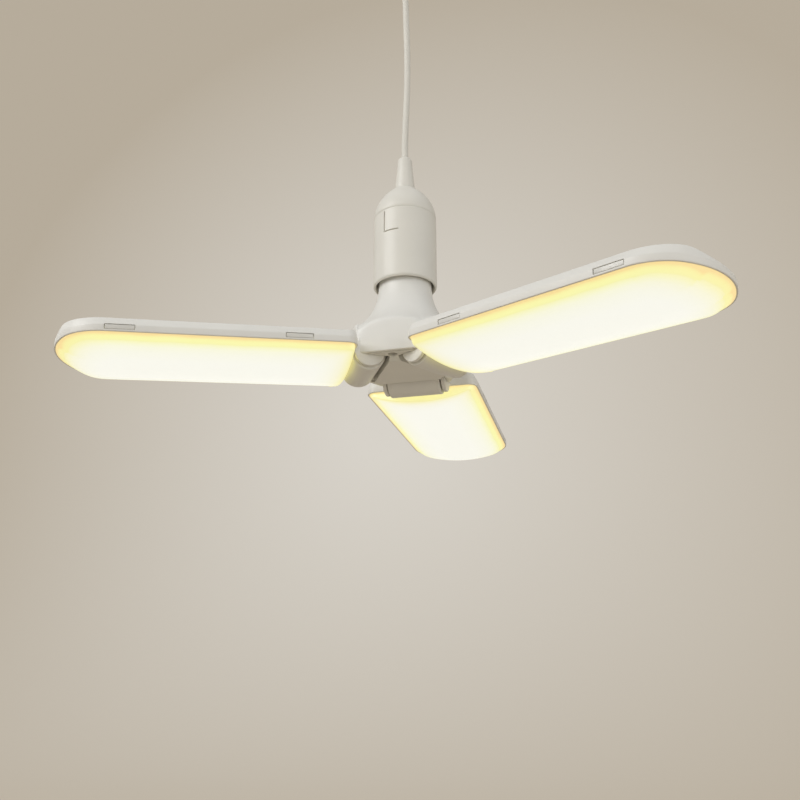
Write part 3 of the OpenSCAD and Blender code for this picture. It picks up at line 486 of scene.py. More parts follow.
print("metals made")

# %% Every solid gets its finish
finishes = {m.name: m for m in (
    white_plastic, holder_plastic, terminal_plastic, washer_plastic, cord_sheath, black_epoxy,
    core_insulation, lead_insulation, opal_diffuser, nickel_cap, brass_sheet, zinc_steel, pin_steel,
    ceramic_core, cap_glass, light_board, driver_board, capacitor_sleeve, choke_winding, light_chip)}
hanging_cord.data.materials.append(cord_sheath)
for name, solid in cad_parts.items():
    slot_name = solid.material_slots[0].material.name.removesuffix("_drawn")
    if slot_name in finishes:
        solid.material_slots[0].material = finishes[slot_name]
    else:
        print("no finish for", name, slot_name)

# %% [markdown]
# The seen pieces are made again as finer surfaces. Every one starts in millimetres, at the
# drawing's own place with z = 0 at the panels' rims, and its mesh is then moved to the ceiling
# frame. A few helpers do the general work: one rounds the corners of a profile, one turns a
# profile on a lathe, one makes a box with rounded edges, and one puts points at a radius, a
# direction and a height. The grid helper above then closes each of them into a mesh.

# %% Rounded profiles, lathe profiles and boxes
DROP = 349.016
LAMP_PLACE = Matrix.Translation((0, 0, -DROP * MM)) @ Matrix.Scale(MM, 4)


def rounded_line(corners, radii, steps=5, closed=True):
    """Straight lines between corners, with an arc of the given radius at each corner. The arc's
    centre lies on the line that halves the corner, at radius / sin(half the corner's angle)."""
    corner = np.array(corners, float)
    radius = np.broadcast_to(np.array(radii, float), len(corner))
    back = np.roll(corner, 1, 0) - corner
    onward = np.roll(corner, -1, 0) - corner
    back /= np.linalg.norm(back, axis=1)[:, None]
    onward /= np.linalg.norm(onward, axis=1)[:, None]
    half = 0.5 * np.arccos(np.clip((back * onward).sum(1), -1, 0.9999))
    middle = back + onward
    middle /= np.maximum(np.linalg.norm(middle, axis=1), 1e-9)[:, None]
    centre = corner + middle * (radius / np.sin(half))[:, None]
    from_arm = corner + back * (radius / np.tan(half))[:, None] - centre
    to_arm = corner + onward * (radius / np.tan(half))[:, None] - centre
    cross = from_arm[:, 0] * to_arm[:, 1] - from_arm[:, 1] * to_arm[:, 0]
    sweep_angle = np.arctan2(cross, (from_arm * to_arm).sum(1))
    angle = np.arctan2(from_arm[:, 1], from_arm[:, 0])[:, None] \
        + sweep_angle[:, None] * np.linspace(0, 1, steps)
    line = centre[:, None] + radius[:, None, None] * np.stack([np.cos(angle), np.sin(angle)], -1)
    if not closed:
        line[0], line[-1] = corner[0], corner[-1]
    return line.reshape(-1, 2)


def turned(profile, steps, axis, centre):
    """A profile of (radius, height) turned about an axis through centre: x = r cos a, y = r sin a."""
    angle = np.arange(steps) * TAU / steps
    radius, height = profile[:, :1], np.repeat(profile[:, 1:], steps, 1)
    across, along = radius * np.cos(angle), radius * np.sin(angle)
    parts = (across, along, height) if axis == "Z" else (across, height, along)
    return np.stack(parts, -1) + np.array(centre, float)


def block(low, high, edge, steps=4):
    """A box with rounded edges: a small ball cut in eight, pulled apart to the box's corners, so a
    point is its corner's centre + edge x the direction on the ball."""
    low, high = np.array(low, float), np.array(high, float)
    quarter = np.linspace(0, TAU / 4, steps + 1)
    around = (quarter[None] + TAU / 4 * np.arange(4)[:, None]).ravel()
    side_x = np.repeat([1, -1, -1, 1], steps + 1)
    side_y = np.repeat([1, 1, -1, -1], steps + 1)
    rise = np.concatenate((quarter[:1] - TAU / 4, quarter - TAU / 4, quarter, quarter[-1:]))
    side_z = np.repeat([-1, 1], steps + 2)
    open_out = np.concatenate(([0], np.ones(2 * steps + 2), [0]))[:, None]
    half, middle = (high - low) / 2 - edge, (high + low) / 2
    x = open_out * side_x * half[0] + edge * np.cos(rise)[:, None] * np.cos(around)
    y = open_out * side_y * half[1] + edge * np.cos(rise)[:, None] * np.sin(around)
    z = np.repeat((side_z * half[2] + edge * np.sin(rise))[:, None], len(around), 1)
    return np.stack([x, y, z], -1) + middle


print("profile helpers ready")

# %% Shapes round the lamp


def at_turn(points, turn):
    """Turns points about the lamp's upright axis."""
    c, s = math.cos(turn), math.sin(turn)
    return points @ np.array([[c, s, 0], [-s, c, 0], [0, 0, 1]])


def ring_grid(radius, angle, height):
    """Points at a radius, a direction and a height: x = r cos a, y = r sin a, z = height."""
    across, along = radius * np.cos(angle), radius * np.sin(angle)
    return np.stack(np.broadcast_arrays(across, along, height), -1)


def lathe_mesh(name, profile, steps, axis="Z", centre=(0, 0, 0), turn=0.0, closed=True):
    """A closed mesh of a turned profile, carried round the lamp by turn."""
    return closed_mesh(name, [(at_turn(turned(profile, steps, axis, centre), turn), closed, True)])


def box_mesh(name, low, high, edge, turn=0.0):
    """A closed mesh of a box with rounded edges, carried round the lamp by turn."""
    return closed_mesh(name, [(at_turn(block(low, high, edge), turn), False, True)])


print("shape helpers ready")

# %% Joining, cutting and settling a piece


def join_cut(base, tools, how):
    """Adds ("UNION") or takes away ("DIFFERENCE") closed meshes, and keeps the worked-out result."""
    for tool in tools:
        change = base.modifiers.new("work", "BOOLEAN")
        change.operation, change.object, change.solver = how, tool, "MANIFOLD"
        result = bpy.data.meshes.new_from_object(
            base.evaluated_get(bpy.context.evaluated_depsgraph_get()))
        base.modifiers.clear()
        base.data = result
        bpy.data.objects.remove(tool)
    return base


def settle(piece, place, finish, body, *nodes, sharp=35.0):
    """Moves the mesh to its place, smooths it between its sharp edges, gives it its finish, and
    makes it ride on its body in place of the drawing's solids."""
    piece.data.transform(place)
    piece.data.shade_smooth()
    piece.data.set_sharp_from_angle(angle=math.radians(sharp))
    piece.data.materials.clear()
    piece.data.materials.append(finish)
    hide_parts(*nodes)
    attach(piece, body)
    print(piece.name, "faces", len(piece.data.polygons), "size mm",
          [round(v * 1000, 1) for v in piece.dimensions])
    return piece


print("the panels' rims lie", DROP, "mm below the ceiling")

# %% [markdown]
# The lampholder is two moulded shells, a dome screwed onto a sleeve. Both are lathe shapes. The
# dome's side falls away slowly at first and quickly near its flat top, which is a quarter ellipse
# whose width is raised to a power. The sleeve has an L-shaped line, the slot of its lock, so its
# surface is a radius that depends on both the angle and the height.

# %% Lampholder dome
HOLDER_R, HOLDER_WALL, DOME_H = 19.2, 1.8, 21.5
SLEEVE_TOP, DOME_TOP, HOLDER_RIM, CORE_TOP = 97.016, 118.516, 51.0, 93.016
BOOT_R, BOOT_TOP_R, BOOT_TOP, PLUG_R = 6.3, 4.4, 142.016, 4.7
CORD_BORE, PLUG_GAP, SHELL_GAP = 2.2, 0.03, 0.02
SKIRT_IN, SKIRT_OUT, SKIRT_LOW = 15.98, 17.36, CORE_TOP + 0.05
SEAM_IN, SEAM_UP, FLAT_R = 0.35, 0.25, BOOT_R + 0.6


def dome_side(inset, steps=44):
    """Half outline of the dome, from its side up to the radius of its flat top:
    r = flat + (side - flat) x share^1.3, where share is that of a circle, and
    z = height x sin a / sin end."""
    end = math.acos(FLAT_R / HOLDER_R)
    a = np.linspace(0, end, steps)
    share = np.clip((HOLDER_R * np.cos(a) - FLAT_R) / (HOLDER_R - FLAT_R), 0, 1)
    return np.stack([FLAT_R + (HOLDER_R - FLAT_R) * share ** 1.3 - inset,
                     SLEEVE_TOP + (DOME_H - inset) * np.sin(a) / math.sin(end)], 1)


inner_side = dome_side(HOLDER_WALL)[::-1]
dome_profile = np.concatenate((
    [[HOLDER_R - SEAM_IN, SLEEVE_TOP + SHELL_GAP]], dome_side(0)[1:-1] + [0, SEAM_UP],
    rounded_line([[FLAT_R + 0.3, DOME_TOP - 0.1], [FLAT_R, DOME_TOP], [PLUG_R + PLUG_GAP, DOME_TOP],
                  [PLUG_R + PLUG_GAP, DOME_TOP - HOLDER_WALL]], 0.0, 2, False),
    inner_side[2:-1],
    [[SKIRT_IN, SLEEVE_TOP], [SKIRT_IN, SKIRT_LOW], [SKIRT_OUT, SKIRT_LOW],
     [SKIRT_OUT, SLEEVE_TOP + SHELL_GAP]]))
dome_profile[:, 1] = np.minimum(dome_profile[:, 1], DOME_TOP)
holder_dome = lathe_mesh("lampholder_dome", dome_profile, 128)
settle(holder_dome, LAMP_PLACE, holder_plastic, "fixture", "holder_dome")

# %% Lampholder sleeve with its lock line
LOCK_ANGLE, LOCK_SWEEP, LOCK_W, LOCK_DEEP = math.radians(-115), math.radians(28), 0.6, 0.7
LOCK_LOW, LOCK_HIGH = 81.516, 95.516
STEP_TURN, STEP_RISE = np.array([-0.004, 0.004]), np.array([-0.08, 0.08])
RIM_R, SLEEVE_IN, LEDGE_IN, LEDGE_TOP, LEDGE_LOW = 2.0, 17.4, 16.0, 86.0, 85.0
slot_half = LOCK_W / 2 / HOLDER_R
slot_lines = np.array([LOCK_ANGLE - slot_half, LOCK_ANGLE + slot_half, LOCK_ANGLE + LOCK_SWEEP])
sleeve_angle = np.sort(np.concatenate((
    np.linspace(-math.pi, math.pi, 128, endpoint=False),
    (slot_lines[:, None] + STEP_TURN).ravel())))
slot_heights = np.array([LOCK_LOW, LOCK_LOW + LOCK_W, LOCK_HIGH])[:, None] + STEP_RISE
outer_heights = np.sort(np.concatenate((
    np.linspace(HOLDER_RIM + 3, SLEEVE_TOP - 0.4, 20), slot_heights.ravel())))
rim_turn = np.radians(np.linspace(-60, 0, 9))
outer_line = np.concatenate((
    np.stack([HOLDER_R - RIM_R + RIM_R * np.cos(rim_turn),
              HOLDER_RIM + RIM_R + RIM_R * np.sin(rim_turn)], 1),
    np.stack([np.full(len(outer_heights), HOLDER_R), outer_heights], 1),
    [[HOLDER_R - 0.3, SLEEVE_TOP - SHELL_GAP]]))
inner_line = np.array([
    [SLEEVE_IN, SLEEVE_TOP - SHELL_GAP], [SLEEVE_IN, LEDGE_TOP], [LEDGE_IN, LEDGE_TOP],
    [LEDGE_IN, LEDGE_LOW], [SLEEVE_IN, LEDGE_LOW - 1.4], [SLEEVE_IN, HOLDER_RIM + 1.2],
    [SLEEVE_IN + 0.3, HOLDER_RIM + 0.5]])


def in_slot(angle, height):
    """1 inside the L: a narrow upright line, and a short level line that leaves its foot."""
    upright = (abs(angle - LOCK_ANGLE) < slot_half) & (height > LOCK_LOW) & (height < LOCK_HIGH)
    level = (angle > LOCK_ANGLE) & (angle < LOCK_ANGLE + LOCK_SWEEP) \
        & (height > LOCK_LOW) & (height < LOCK_LOW + LOCK_W)
    return (upright | level).astype(float)


outer_r = outer_line[:, :1] - LOCK_DEEP * in_slot(sleeve_angle[None], outer_line[:, 1:])
inner_r = np.repeat(inner_line[:, :1], len(sleeve_angle), 1)
sleeve_z = np.concatenate((outer_line, inner_line))[:, 1:]
sleeve_points = ring_grid(np.concatenate((outer_r, inner_r)), sleeve_angle, sleeve_z)
holder_sleeve = closed_mesh("lampholder_sleeve", [(sleeve_points, True, True)])
settle(holder_sleeve, LAMP_PLACE, holder_plastic, "fixture", "holder_sleeve")

# %% Strain relief
PLUG_LOW, BOOT_FOOT = DOME_TOP - 3, DOME_TOP + SHELL_GAP
boot_profile = rounded_line(
    [[CORD_BORE, PLUG_LOW], [PLUG_R, PLUG_LOW], [PLUG_R, BOOT_FOOT], [BOOT_R, BOOT_FOOT],
     [BOOT_R - 0.15, DOME_TOP + 3], [BOOT_TOP_R + 0.75, BOOT_TOP - 10], [BOOT_TOP_R, BOOT_TOP],
     [CORD_BORE + 0.35, BOOT_TOP], [CORD_BORE, BOOT_TOP - 0.8]],
    [0, 0, 0, 0.5, 3.0, 20.0, 1.7, 0.2, 0.4], 10)
boot = lathe_mesh("cord_strain_relief", boot_profile, 64)
settle(boot, LAMP_PLACE, holder_plastic, "fixture", "strain_relief")

# %% [markdown]
# Above the view, the cord ends in a ceiling rose: a shallow round cover with a soft lower edge and
# a shadow line near the ceiling. Its clamp nut is fluted so that fingers can turn it. The flutes
# are a small wave in the radius, which only shows where the nut is thick.

# %% Ceiling rose and cord clamp
ROSE_R, ROSE_H, ROSE_WALL, GRIP_LEN = 40.0, 25.0, 2.0, 12.0
ROSE_PLACE = Matrix.Scale(MM, 4)
ROSE_BORE, GROOVE_IN, ROSE_FLOOR = 5.0, 0.9, -ROSE_H + ROSE_WALL
rose_profile = rounded_line(
    [[ROSE_BORE, -ROSE_H], [ROSE_R - 0.8, -ROSE_H], [ROSE_R - 0.3, -4.2], [ROSE_R - GROOVE_IN, -3.9],
     [ROSE_R - GROOVE_IN, -3.3], [ROSE_R, -3.0], [ROSE_R, 0.0], [ROSE_R - ROSE_WALL, 0.0],
     [ROSE_R - ROSE_WALL, ROSE_FLOOR], [ROSE_BORE, ROSE_FLOOR]],
    [0.4, 7.0, 0.2, 0.15, 0.15, 0.3, 0.4, 0.2, 4.0, 0.2], 9)
rose = lathe_mesh("ceiling_rose_cover", rose_profile, 144)
settle(rose, ROSE_PLACE, white_plastic, "fixture", "ceiling_rose")

GRIP_R, GRIP_TIP_R, GRIP_NECK_R, NUT_R, NUT_H = 7.5, 4.2, ROSE_BORE - 0.05, 8.0, 4
FLUTES, FLUTE_DEEP = 18, 0.35
grip_low, grip_top = -ROSE_H - GRIP_LEN, -ROSE_H - SHELL_GAP
grip_line = rounded_line(
    [[CORD_BORE, grip_low], [GRIP_TIP_R, grip_low], [GRIP_R, -ROSE_H - 5], [GRIP_R, grip_top],
     [GRIP_NECK_R, grip_top], [GRIP_NECK_R, ROSE_FLOOR], [NUT_R, ROSE_FLOOR],
     [NUT_R, ROSE_FLOOR + NUT_H], [CORD_BORE, ROSE_FLOOR + NUT_H]],
    [0.2, 0.8, 1.2, 0.3, 0.1, 0.1, 0.4, 0.4, 0.2], 8)
grip_angle = np.arange(144) * TAU / 144
thick = np.clip((grip_line[:, :1] - 5.5) / 1.5, 0, 1) * (grip_line[:, 1:] < -ROSE_H)
grip_r = grip_line[:, :1] - FLUTE_DEEP * thick * (0.5 - 0.5 * np.cos(FLUTES * grip_angle)) ** 3
cord_clamp = closed_mesh("cord_clamp", [(ring_grid(grip_r, grip_angle, grip_line[:, 1:]), True, True)])
settle(cord_clamp, ROSE_PLACE, white_plastic, "fixture", "cord_grip")

# %% [markdown]
# The screw cap is thin plated sheet rolled to a round thread. A thread is a wave that climbs as
# it goes round: the radius depends on height / pitch - turn, so the crest rises one pitch in each
# turn. The wave fades out over half a pitch at both ends, where the sheet is a plain cylinder.

# %% Screw cap
THREAD_R, THREAD_DEEP, PITCH, SHEET = 13.1, 1.0, 3.629, 0.4
COLLAR_Z, THREAD_Z, THREAD_TOP, CAP_TOP = 57.0, 63.5, 78.016, 80.616
CAP_LINES, CROWN_R = 120, 8.0
cap_angle = (np.arange(CAP_LINES) * TAU / CAP_LINES)[None]
thread_z = np.linspace(COLLAR_Z + 0.05, THREAD_TOP, 150)[:, None]
fade_in, fade_out = (np.clip(way / (PITCH / 2), 0, 1)
                     for way in (thread_z - THREAD_Z + 1, THREAD_TOP - thread_z))
wave = 0.5 - 0.5 * np.cos(TAU * (thread_z - THREAD_Z) / PITCH - cap_angle)
thread_r = THREAD_R - THREAD_DEEP * wave * (fade_in * fade_out)
crown = rounded_line(
    [[THREAD_R, THREAD_TOP], [11.4, THREAD_TOP + 1.2], [8.9, CAP_TOP], [CROWN_R, CAP_TOP],
     [CROWN_R, CAP_TOP - SHEET], [11.0, THREAD_TOP + 0.7], [THREAD_R - 0.7, THREAD_TOP - 0.4]],
    [0, 1.5, 0.5, 0.15, 0.1, 1.2, 0], 5, False)
cap_r = np.concatenate((thread_r, np.repeat(crown[1:, :1], CAP_LINES, 1), thread_r[-3::-1] - SHEET))
cap_z = np.concatenate((thread_z, crown[1:, 1:], thread_z[-3::-1]))
screw_cap = closed_mesh("screw_cap", [(ring_grid(cap_r, cap_angle, cap_z), True, True)])
settle(screw_cap, LAMP_PLACE, nickel_cap, "lamp", "cap_shell", sharp=50.0)

# %% [markdown]
# The hub housing is a bell that spreads from the round neck to a six-sided foot, with a raised
# box over each of its three hinges. Seen from above, its edge at one height is a distance from
# the middle that depends on the direction, so the whole skin is one grid of direction and height.
# Flat faces at distance a give a / cos(angle from the face). Several are joined with a soft
# minimum, the sum of 1 / r^p taken back by the power -1 / p, which rounds the corner between
# them as a mould does. A high p gives a tight corner.

# %% Hub housing: the outline at one height
NECK_R, NECK_Z, FLARE_R, FLARE_FALL, HUB_WALL = 15.85, 52.0, 40.0, 37.06, 1.8
HINGE_FACE, PLAIN_FACE = 32.8, 32.0
BOX_H, BOX_CORNER, BOX_END, BOX_EASE, FOOT_R = 21.5, 9.0, 17.6, 5.0, 0.6
FACE_POWER, BOX_POWER, BELL_POWER, SHOULDER_POWER = 48.0, 20.0, 32.0, 10.0
SHOULDER_SPREAD, SHOULDER_LOW, SHOULDER_RISE = math.radians(8), 8, 8
EAR_IN, EAR_OUT, EAR_R, LIP_Z = 16.8, 19.2, 8.6, 12.3
HINGE_OUT, HINGE_UP, KNUCKLE_R, KNUCKLE_HALF, PIN_R = 25.2, 1.9, 9.8, 16.0, 1.5
NECK_TOP, STEP_R, SPIGOT_R, SPIGOT_IN, SPIGOT_TOP, INSIDE_TOP = 54.9, 14.4, 12.45, 10.85, 62.3, 50.4
HINGE_TURNS = np.radians([90.0, 210.0, 330.0])


def soft_least(values, power):
    """Soft minimum of positive lengths: (sum of 1 / length^power)^(-1 / power)."""
    return np.sum(np.array(np.broadcast_arrays(*values)) ** -power, axis=0) ** (-1 / power)


def flat_face(angle, facing, distance):
    """Distance from the middle to a flat face, along a direction; far away behind the face."""
    lean = np.cos(angle - facing)
    return distance / np.maximum(lean, 0.05)


def bell(height):
    """The flare: a quarter circle that starts upright at the neck and swings outward below it."""
    below = np.clip(NECK_Z - height, 0, FLARE_FALL)
    return NECK_R + FLARE_R - np.sqrt(FLARE_R ** 2 - below ** 2)


def nearest_hinge(angle):
    """Angle from the nearest hinge's direction, from -60 to 60 degrees."""
    return (angle - HINGE_TURNS[0] + TAU / 6) % (TAU / 3) - TAU / 6


def hub_edge(angle, height):
    """Bell and six faces joined by a soft minimum, without the hinge boxes. Towards the top of each
    of the six corners the power falls, so the moulding has a rounder shoulder there."""
    faces = [flat_face(angle, t, HINGE_FACE) for t in HINGE_TURNS]
    faces += [flat_face(angle, t + math.pi / 3, PLAIN_FACE) for t in HINGE_TURNS]
    off_corner = (np.abs(nearest_hinge(angle)) - TAU / 12) / SHOULDER_SPREAD
    softer = np.exp(-off_corner ** 2) * np.clip((height - SHOULDER_LOW) / SHOULDER_RISE, 0, 1)
    power = BELL_POWER - (BELL_POWER - SHOULDER_POWER) * softer
    return soft_least([soft_least(faces, FACE_POWER), bell(height)], power)


def box_reach(angle):
    """Distance to the hinge box's face and sides, along a direction."""
    off = nearest_hinge(angle)
    side = EAR_OUT / np.maximum(np.abs(np.sin(off)), 0.05)
    return soft_least([HINGE_FACE / np.cos(off), side], BOX_POWER)


def box_top(angle):
    """Height of the hinge box's top: level, then a quarter circle down at each end."""
    across = np.abs(box_reach(angle) * np.sin(nearest_hinge(angle)))
    past = np.clip(across - (BOX_END - BOX_CORNER), 0, BOX_CORNER)
    return BOX_H - BOX_CORNER + np.sqrt(BOX_CORNER ** 2 - past ** 2)


def housing_skin(angle, level):
    """Rows of the outside: level 0 to 1 climbs to the box's top, 1 to 2 goes round its edge, and
    2 to 3 climbs on to the neck. The edge of the box top is a quarter of an ellipse."""
    top, over = box_top(angle), np.clip(level - 1, 0, 1)
    low = np.clip(level, 0, 1) * (top - BOX_EASE)
    high = np.clip(level - 2, 0, 1) * (NECK_Z - top)
    height = low + over * BOX_EASE + high
    plain = hub_edge(angle, height)
    stand_out = np.sqrt(1 - over ** 2) * (level < 2)
    radius = plain + np.maximum(box_reach(angle) - plain, 0) * stand_out
    foot = np.clip((FOOT_R - height) / FOOT_R, 0, 1)
    return radius - FOOT_R * (1 - np.sqrt(1 - foot ** 2)), height


print("hub edge at its foot", hub_edge(HINGE_TURNS, 0.0).round(1))

# %% Hub housing: its skin
HUB_LINES = 360
hub_angle = (np.arange(HUB_LINES) * TAU / HUB_LINES)[None]
level = np.concatenate((np.linspace(0, 0.06, 5), np.linspace(0.1, 1, 16), 1 + np.linspace(0.12, 1, 9),
                        2 + np.linspace(0.004, 1, 44) ** 1.15))[:, None]
skin_r, skin_z = housing_skin(hub_angle, level)
neck_line = rounded_line([[NECK_R, NECK_Z], [NECK_R, NECK_TOP], [STEP_R, NECK_TOP], [STEP_R, COLLAR_Z],
                          [SPIGOT_R, COLLAR_Z], [SPIGOT_R, SPIGOT_TOP], [SPIGOT_IN, SPIGOT_TOP],
                          [SPIGOT_IN, INSIDE_TOP]],
                         [0, 0.9, 0.2, 0.4, 0.2, 0.3, 0.2, 0], 5, False)
neck_r, neck_z = (np.repeat(neck_line[:, side], HUB_LINES).reshape(-1, HUB_LINES) for side in (0, 1))
inside_z = np.linspace(INSIDE_TOP - 0.2, 0.0, 40)[:, None]
inside_r = hub_edge(hub_angle, inside_z + FOOT_R) - HUB_WALL
rows_z = np.concatenate((skin_z, neck_z, np.repeat(inside_z, HUB_LINES, 1)))
housing_points = ring_grid(np.concatenate((skin_r, neck_r, inside_r)), hub_angle, rows_z)
housing = closed_mesh("hub_housing_skin", [(housing_points, True, True)])
print("housing rows", housing_points.shape)

# %% [markdown]
# Each hinge box is open below a lip, where the panel's knuckle swings out, and a pair of ears
# holds the hinge pin. The pockets are cut out of the skin with a Boolean, and the ears and the
# screw posts are joined on, so all of it is one moulding, as on the real lamp.

# %% Hub housing: pockets, ears and posts

POCKET_IN, POCKET_OUT, POCKET_LOW = 14.2, 55, -20
WEB_OUT, WEB_REACH, WEB_LOW, WEB_TOP = 18.8, 29.0, 3.9, 12.2
POST_OUT, POST_R, POST_BORE, POST_LOW, POST_TOP, BORE_TOP = 26.4, 3.6, 1.17, 8.05, 18.6, 15.0
PIN_HOLE = PIN_R + 0.02
hinge_middle = (HINGE_OUT, 0, HINGE_UP)
post_line = rounded_line([[POST_BORE, POST_LOW], [POST_R, POST_LOW], [POST_R, POST_TOP], [0, POST_TOP],
                          [0, BORE_TOP], [POST_BORE, BORE_TOP]], 0.0, 2)
pocket_tools, ear_tools = [], []
for number, turn in enumerate(HINGE_TURNS):
    pocket_tools.append(box_mesh(f"pocket_{number}", (POCKET_IN, -EAR_IN, POCKET_LOW),
                                 (POCKET_OUT, EAR_IN, LIP_Z), 0.3, turn))
    for side in (-1, 1):
        low, high = sorted((side * EAR_IN, side * EAR_OUT))
        ear_line = rounded_line([[PIN_HOLE, low], [EAR_R, low], [EAR_R, high], [PIN_HOLE, high]],
                                [0, 0.5, 0.5, 0], 4)
        near, far = sorted((side * (EAR_IN + 0.02), side * WEB_OUT))
        ear_tools += [lathe_mesh(f"ear_{number}_{side}", ear_line, 72, "Y", hinge_middle, turn),
                      box_mesh(f"web_{number}_{side}", (POCKET_IN, near, WEB_LOW),
                               (WEB_REACH, far, WEB_TOP), 0.2, turn)]
    ear_tools.append(lathe_mesh(f"post_{number}", post_line, 32, "Z", (POST_OUT, 0, 0),
                                turn + math.pi / 3))
join_cut(housing, pocket_tools, "DIFFERENCE")
join_cut(housing, ear_tools, "UNION")
settle(housing, LAMP_PLACE, white_plastic, "lamp", "hub_housing", sharp=28.0)

# %% [markdown]
# A panel's casing is a shallow tray with a full round tip. Its outline is a line of points, each
# with its outward direction, so the outline drawn in by d is point - d x direction, exactly, on
# straights and arcs alike. A section of (d, height) pairs is then carried round that outline,
# and the flat back and the ceiling inside close onto the panel's middle line.

# %% Outline of a panel
PANEL_LEN, PANEL_W, PANEL_H, PANEL_WALL, PANEL_BACK = 154.0, 71.0, 8.0, 1.6, 1.8
ROOT = 34.2
TIP = ROOT + PANEL_LEN
TIP_ARC_R, CORNER_R, ROOT_CORNER_R = 46.0, 24.0, 6.0
CORNER_Y = PANEL_W / 2 - CORNER_R
CORNER_X = TIP - TIP_ARC_R + math.sqrt((TIP_ARC_R - CORNER_R) ** 2 - CORNER_Y ** 2)
CLIPS = np.array([ROOT + 31.5, ROOT + 119.5])
CLIP_LEN, CLIP_H, CLIP_Z = 14.0, 2.4, 1.2
SCREWS = np.array([ROOT + 26.0, TIP - 24.0])
REST_DROOP = math.radians(3.0)
TIP_SLOPE_LEN, TIP_SLOPE_DROP, TIP_EASE = 6.0, 4.0, 0.6
SPINE_ROOT, SPINE_TIP = ROOT + 34, TIP - 36


def panel_line():
    """Points round the panel and their outward directions, from the middle of the tip round one
    side to the middle of the root, then back along the mirrored side."""
    arc_x = TIP - TIP_ARC_R
    split = math.atan2(CORNER_Y, CORNER_X - arc_x)
    root_x, root_y = ROOT + ROOT_CORNER_R, PANEL_W / 2 - ROOT_CORNER_R
    tip, corner = np.linspace(0, split, 16)[:-1], np.linspace(split, TAU / 4, 22)
    root = np.linspace(TAU / 4, TAU / 2, 10)
    side, end = np.linspace(CORNER_X, root_x, 44)[1:-1], np.linspace(root_y, 0, 14)[1:]
    x = np.concatenate((arc_x + TIP_ARC_R * np.cos(tip), CORNER_X + CORNER_R * np.cos(corner), side,
                        root_x + ROOT_CORNER_R * np.cos(root), np.full(len(end), ROOT)))
    y = np.concatenate((TIP_ARC_R * np.sin(tip), CORNER_Y + CORNER_R * np.sin(corner),
                        np.full(len(side), PANEL_W / 2), root_y + ROOT_CORNER_R * np.sin(root), end))
    facing = np.concatenate((tip, corner, np.full(len(side), TAU / 4), root,
                             np.full(len(end), TAU / 2)))
    half = np.stack([x, y, np.cos(facing), np.sin(facing)], 1)
    mirrored = half[-2:0:-1] * [1, -1, 1, -1]
    line = np.concatenate((half, mirrored))
    return line[:, :2], line[:, 2:]


rim_points, rim_out = panel_line()
spine = np.stack([np.clip(rim_points[:, 0], SPINE_ROOT, SPINE_TIP), np.zeros(len(rim_points))], 1)


def drawn_in(inset, share):
    """The outline drawn in by inset, one value a row or a point, then led by share of the way to
    the panel's middle line."""
    inset, share = np.array(inset, float), np.array(share, float)[:, None, None]
    inset = inset[..., None] if inset.ndim == 2 else inset[:, None, None]
    return (rim_points - inset * rim_out) * (1 - share) + spine * share


def lifted(plane, height):
    """Points in the panel's plane, each with its height added."""
    return np.concatenate((plane, height[..., None]), -1)


def tip_drop(x):
    """How far the back slopes down towards the tip, eased at its start."""
    past = (x - (TIP - TIP_SLOPE_LEN)) / TIP_EASE
    return TIP_SLOPE_DROP / TIP_SLOPE_LEN * TIP_EASE * np.logaddexp(0, past)


print("outline points", len(rim_points))

# %% Casing: the tray
# The wall stands upright for 3.5 mm and then leans in to the back. At both ends it stays nearly
# upright, so each point of the outline keeps its share of the lean. The rim's inner corner is cut
# off, and the cover's lip lies over the cut.
LEAN_Z, LEAN, RIM_W, RIM_CUT, BACK_ROWS = 3.5, 2.4, 0.8, 0.9, 36
CEILING_IN, BACK_IN, DROP_FROM = 3.1, 4.0, 3.0
back_rows, ceiling = np.linspace(0, 1, BACK_ROWS), PANEL_H - PANEL_BACK
section = rounded_line([[3.0, 6.1], [PANEL_WALL, LEAN_Z], [PANEL_WALL, RIM_CUT], [RIM_W, 0.0],
                        [0.0, 0.0], [0.0, LEAN_Z], [LEAN, PANEL_H], [BACK_IN, PANEL_H]],
                       [0, 0.8, 0.1, 0.1, 0.4, 1.1, 0.9, 0], 5, False)
inset = np.concatenate((np.full(BACK_ROWS, CEILING_IN), section[:, 0], np.full(BACK_ROWS, BACK_IN)))
share = np.concatenate((back_rows[::-1], np.zeros(len(section)), back_rows))
height = np.concatenate((np.full(BACK_ROWS, ceiling), section[:, 1], np.full(BACK_ROWS, PANEL_H)))
height = height[:, None]
lean_share = 0.35 + 0.65 * np.abs(rim_out[:, 1]) ** 3
wall_in = np.where(np.arange(len(inset)) < np.argmin(height[:, 0]), PANEL_WALL, 0.0)[:, None]
lean = np.where(height > LEAN_Z - 0.6, lean_share, 1.0)
plane = drawn_in(wall_in + (inset[:, None] - wall_in) * lean, share)
top_share = np.clip((height - DROP_FROM) / (PANEL_H - DROP_FROM), 0, 1)
top_share[:BACK_ROWS] = 1.0
tray_z = height - top_share * tip_drop(plane[..., 0])
tray = closed_mesh("casing", [(lifted(plane, tray_z), False, True)])
print("tray rows", plane.shape[:2])

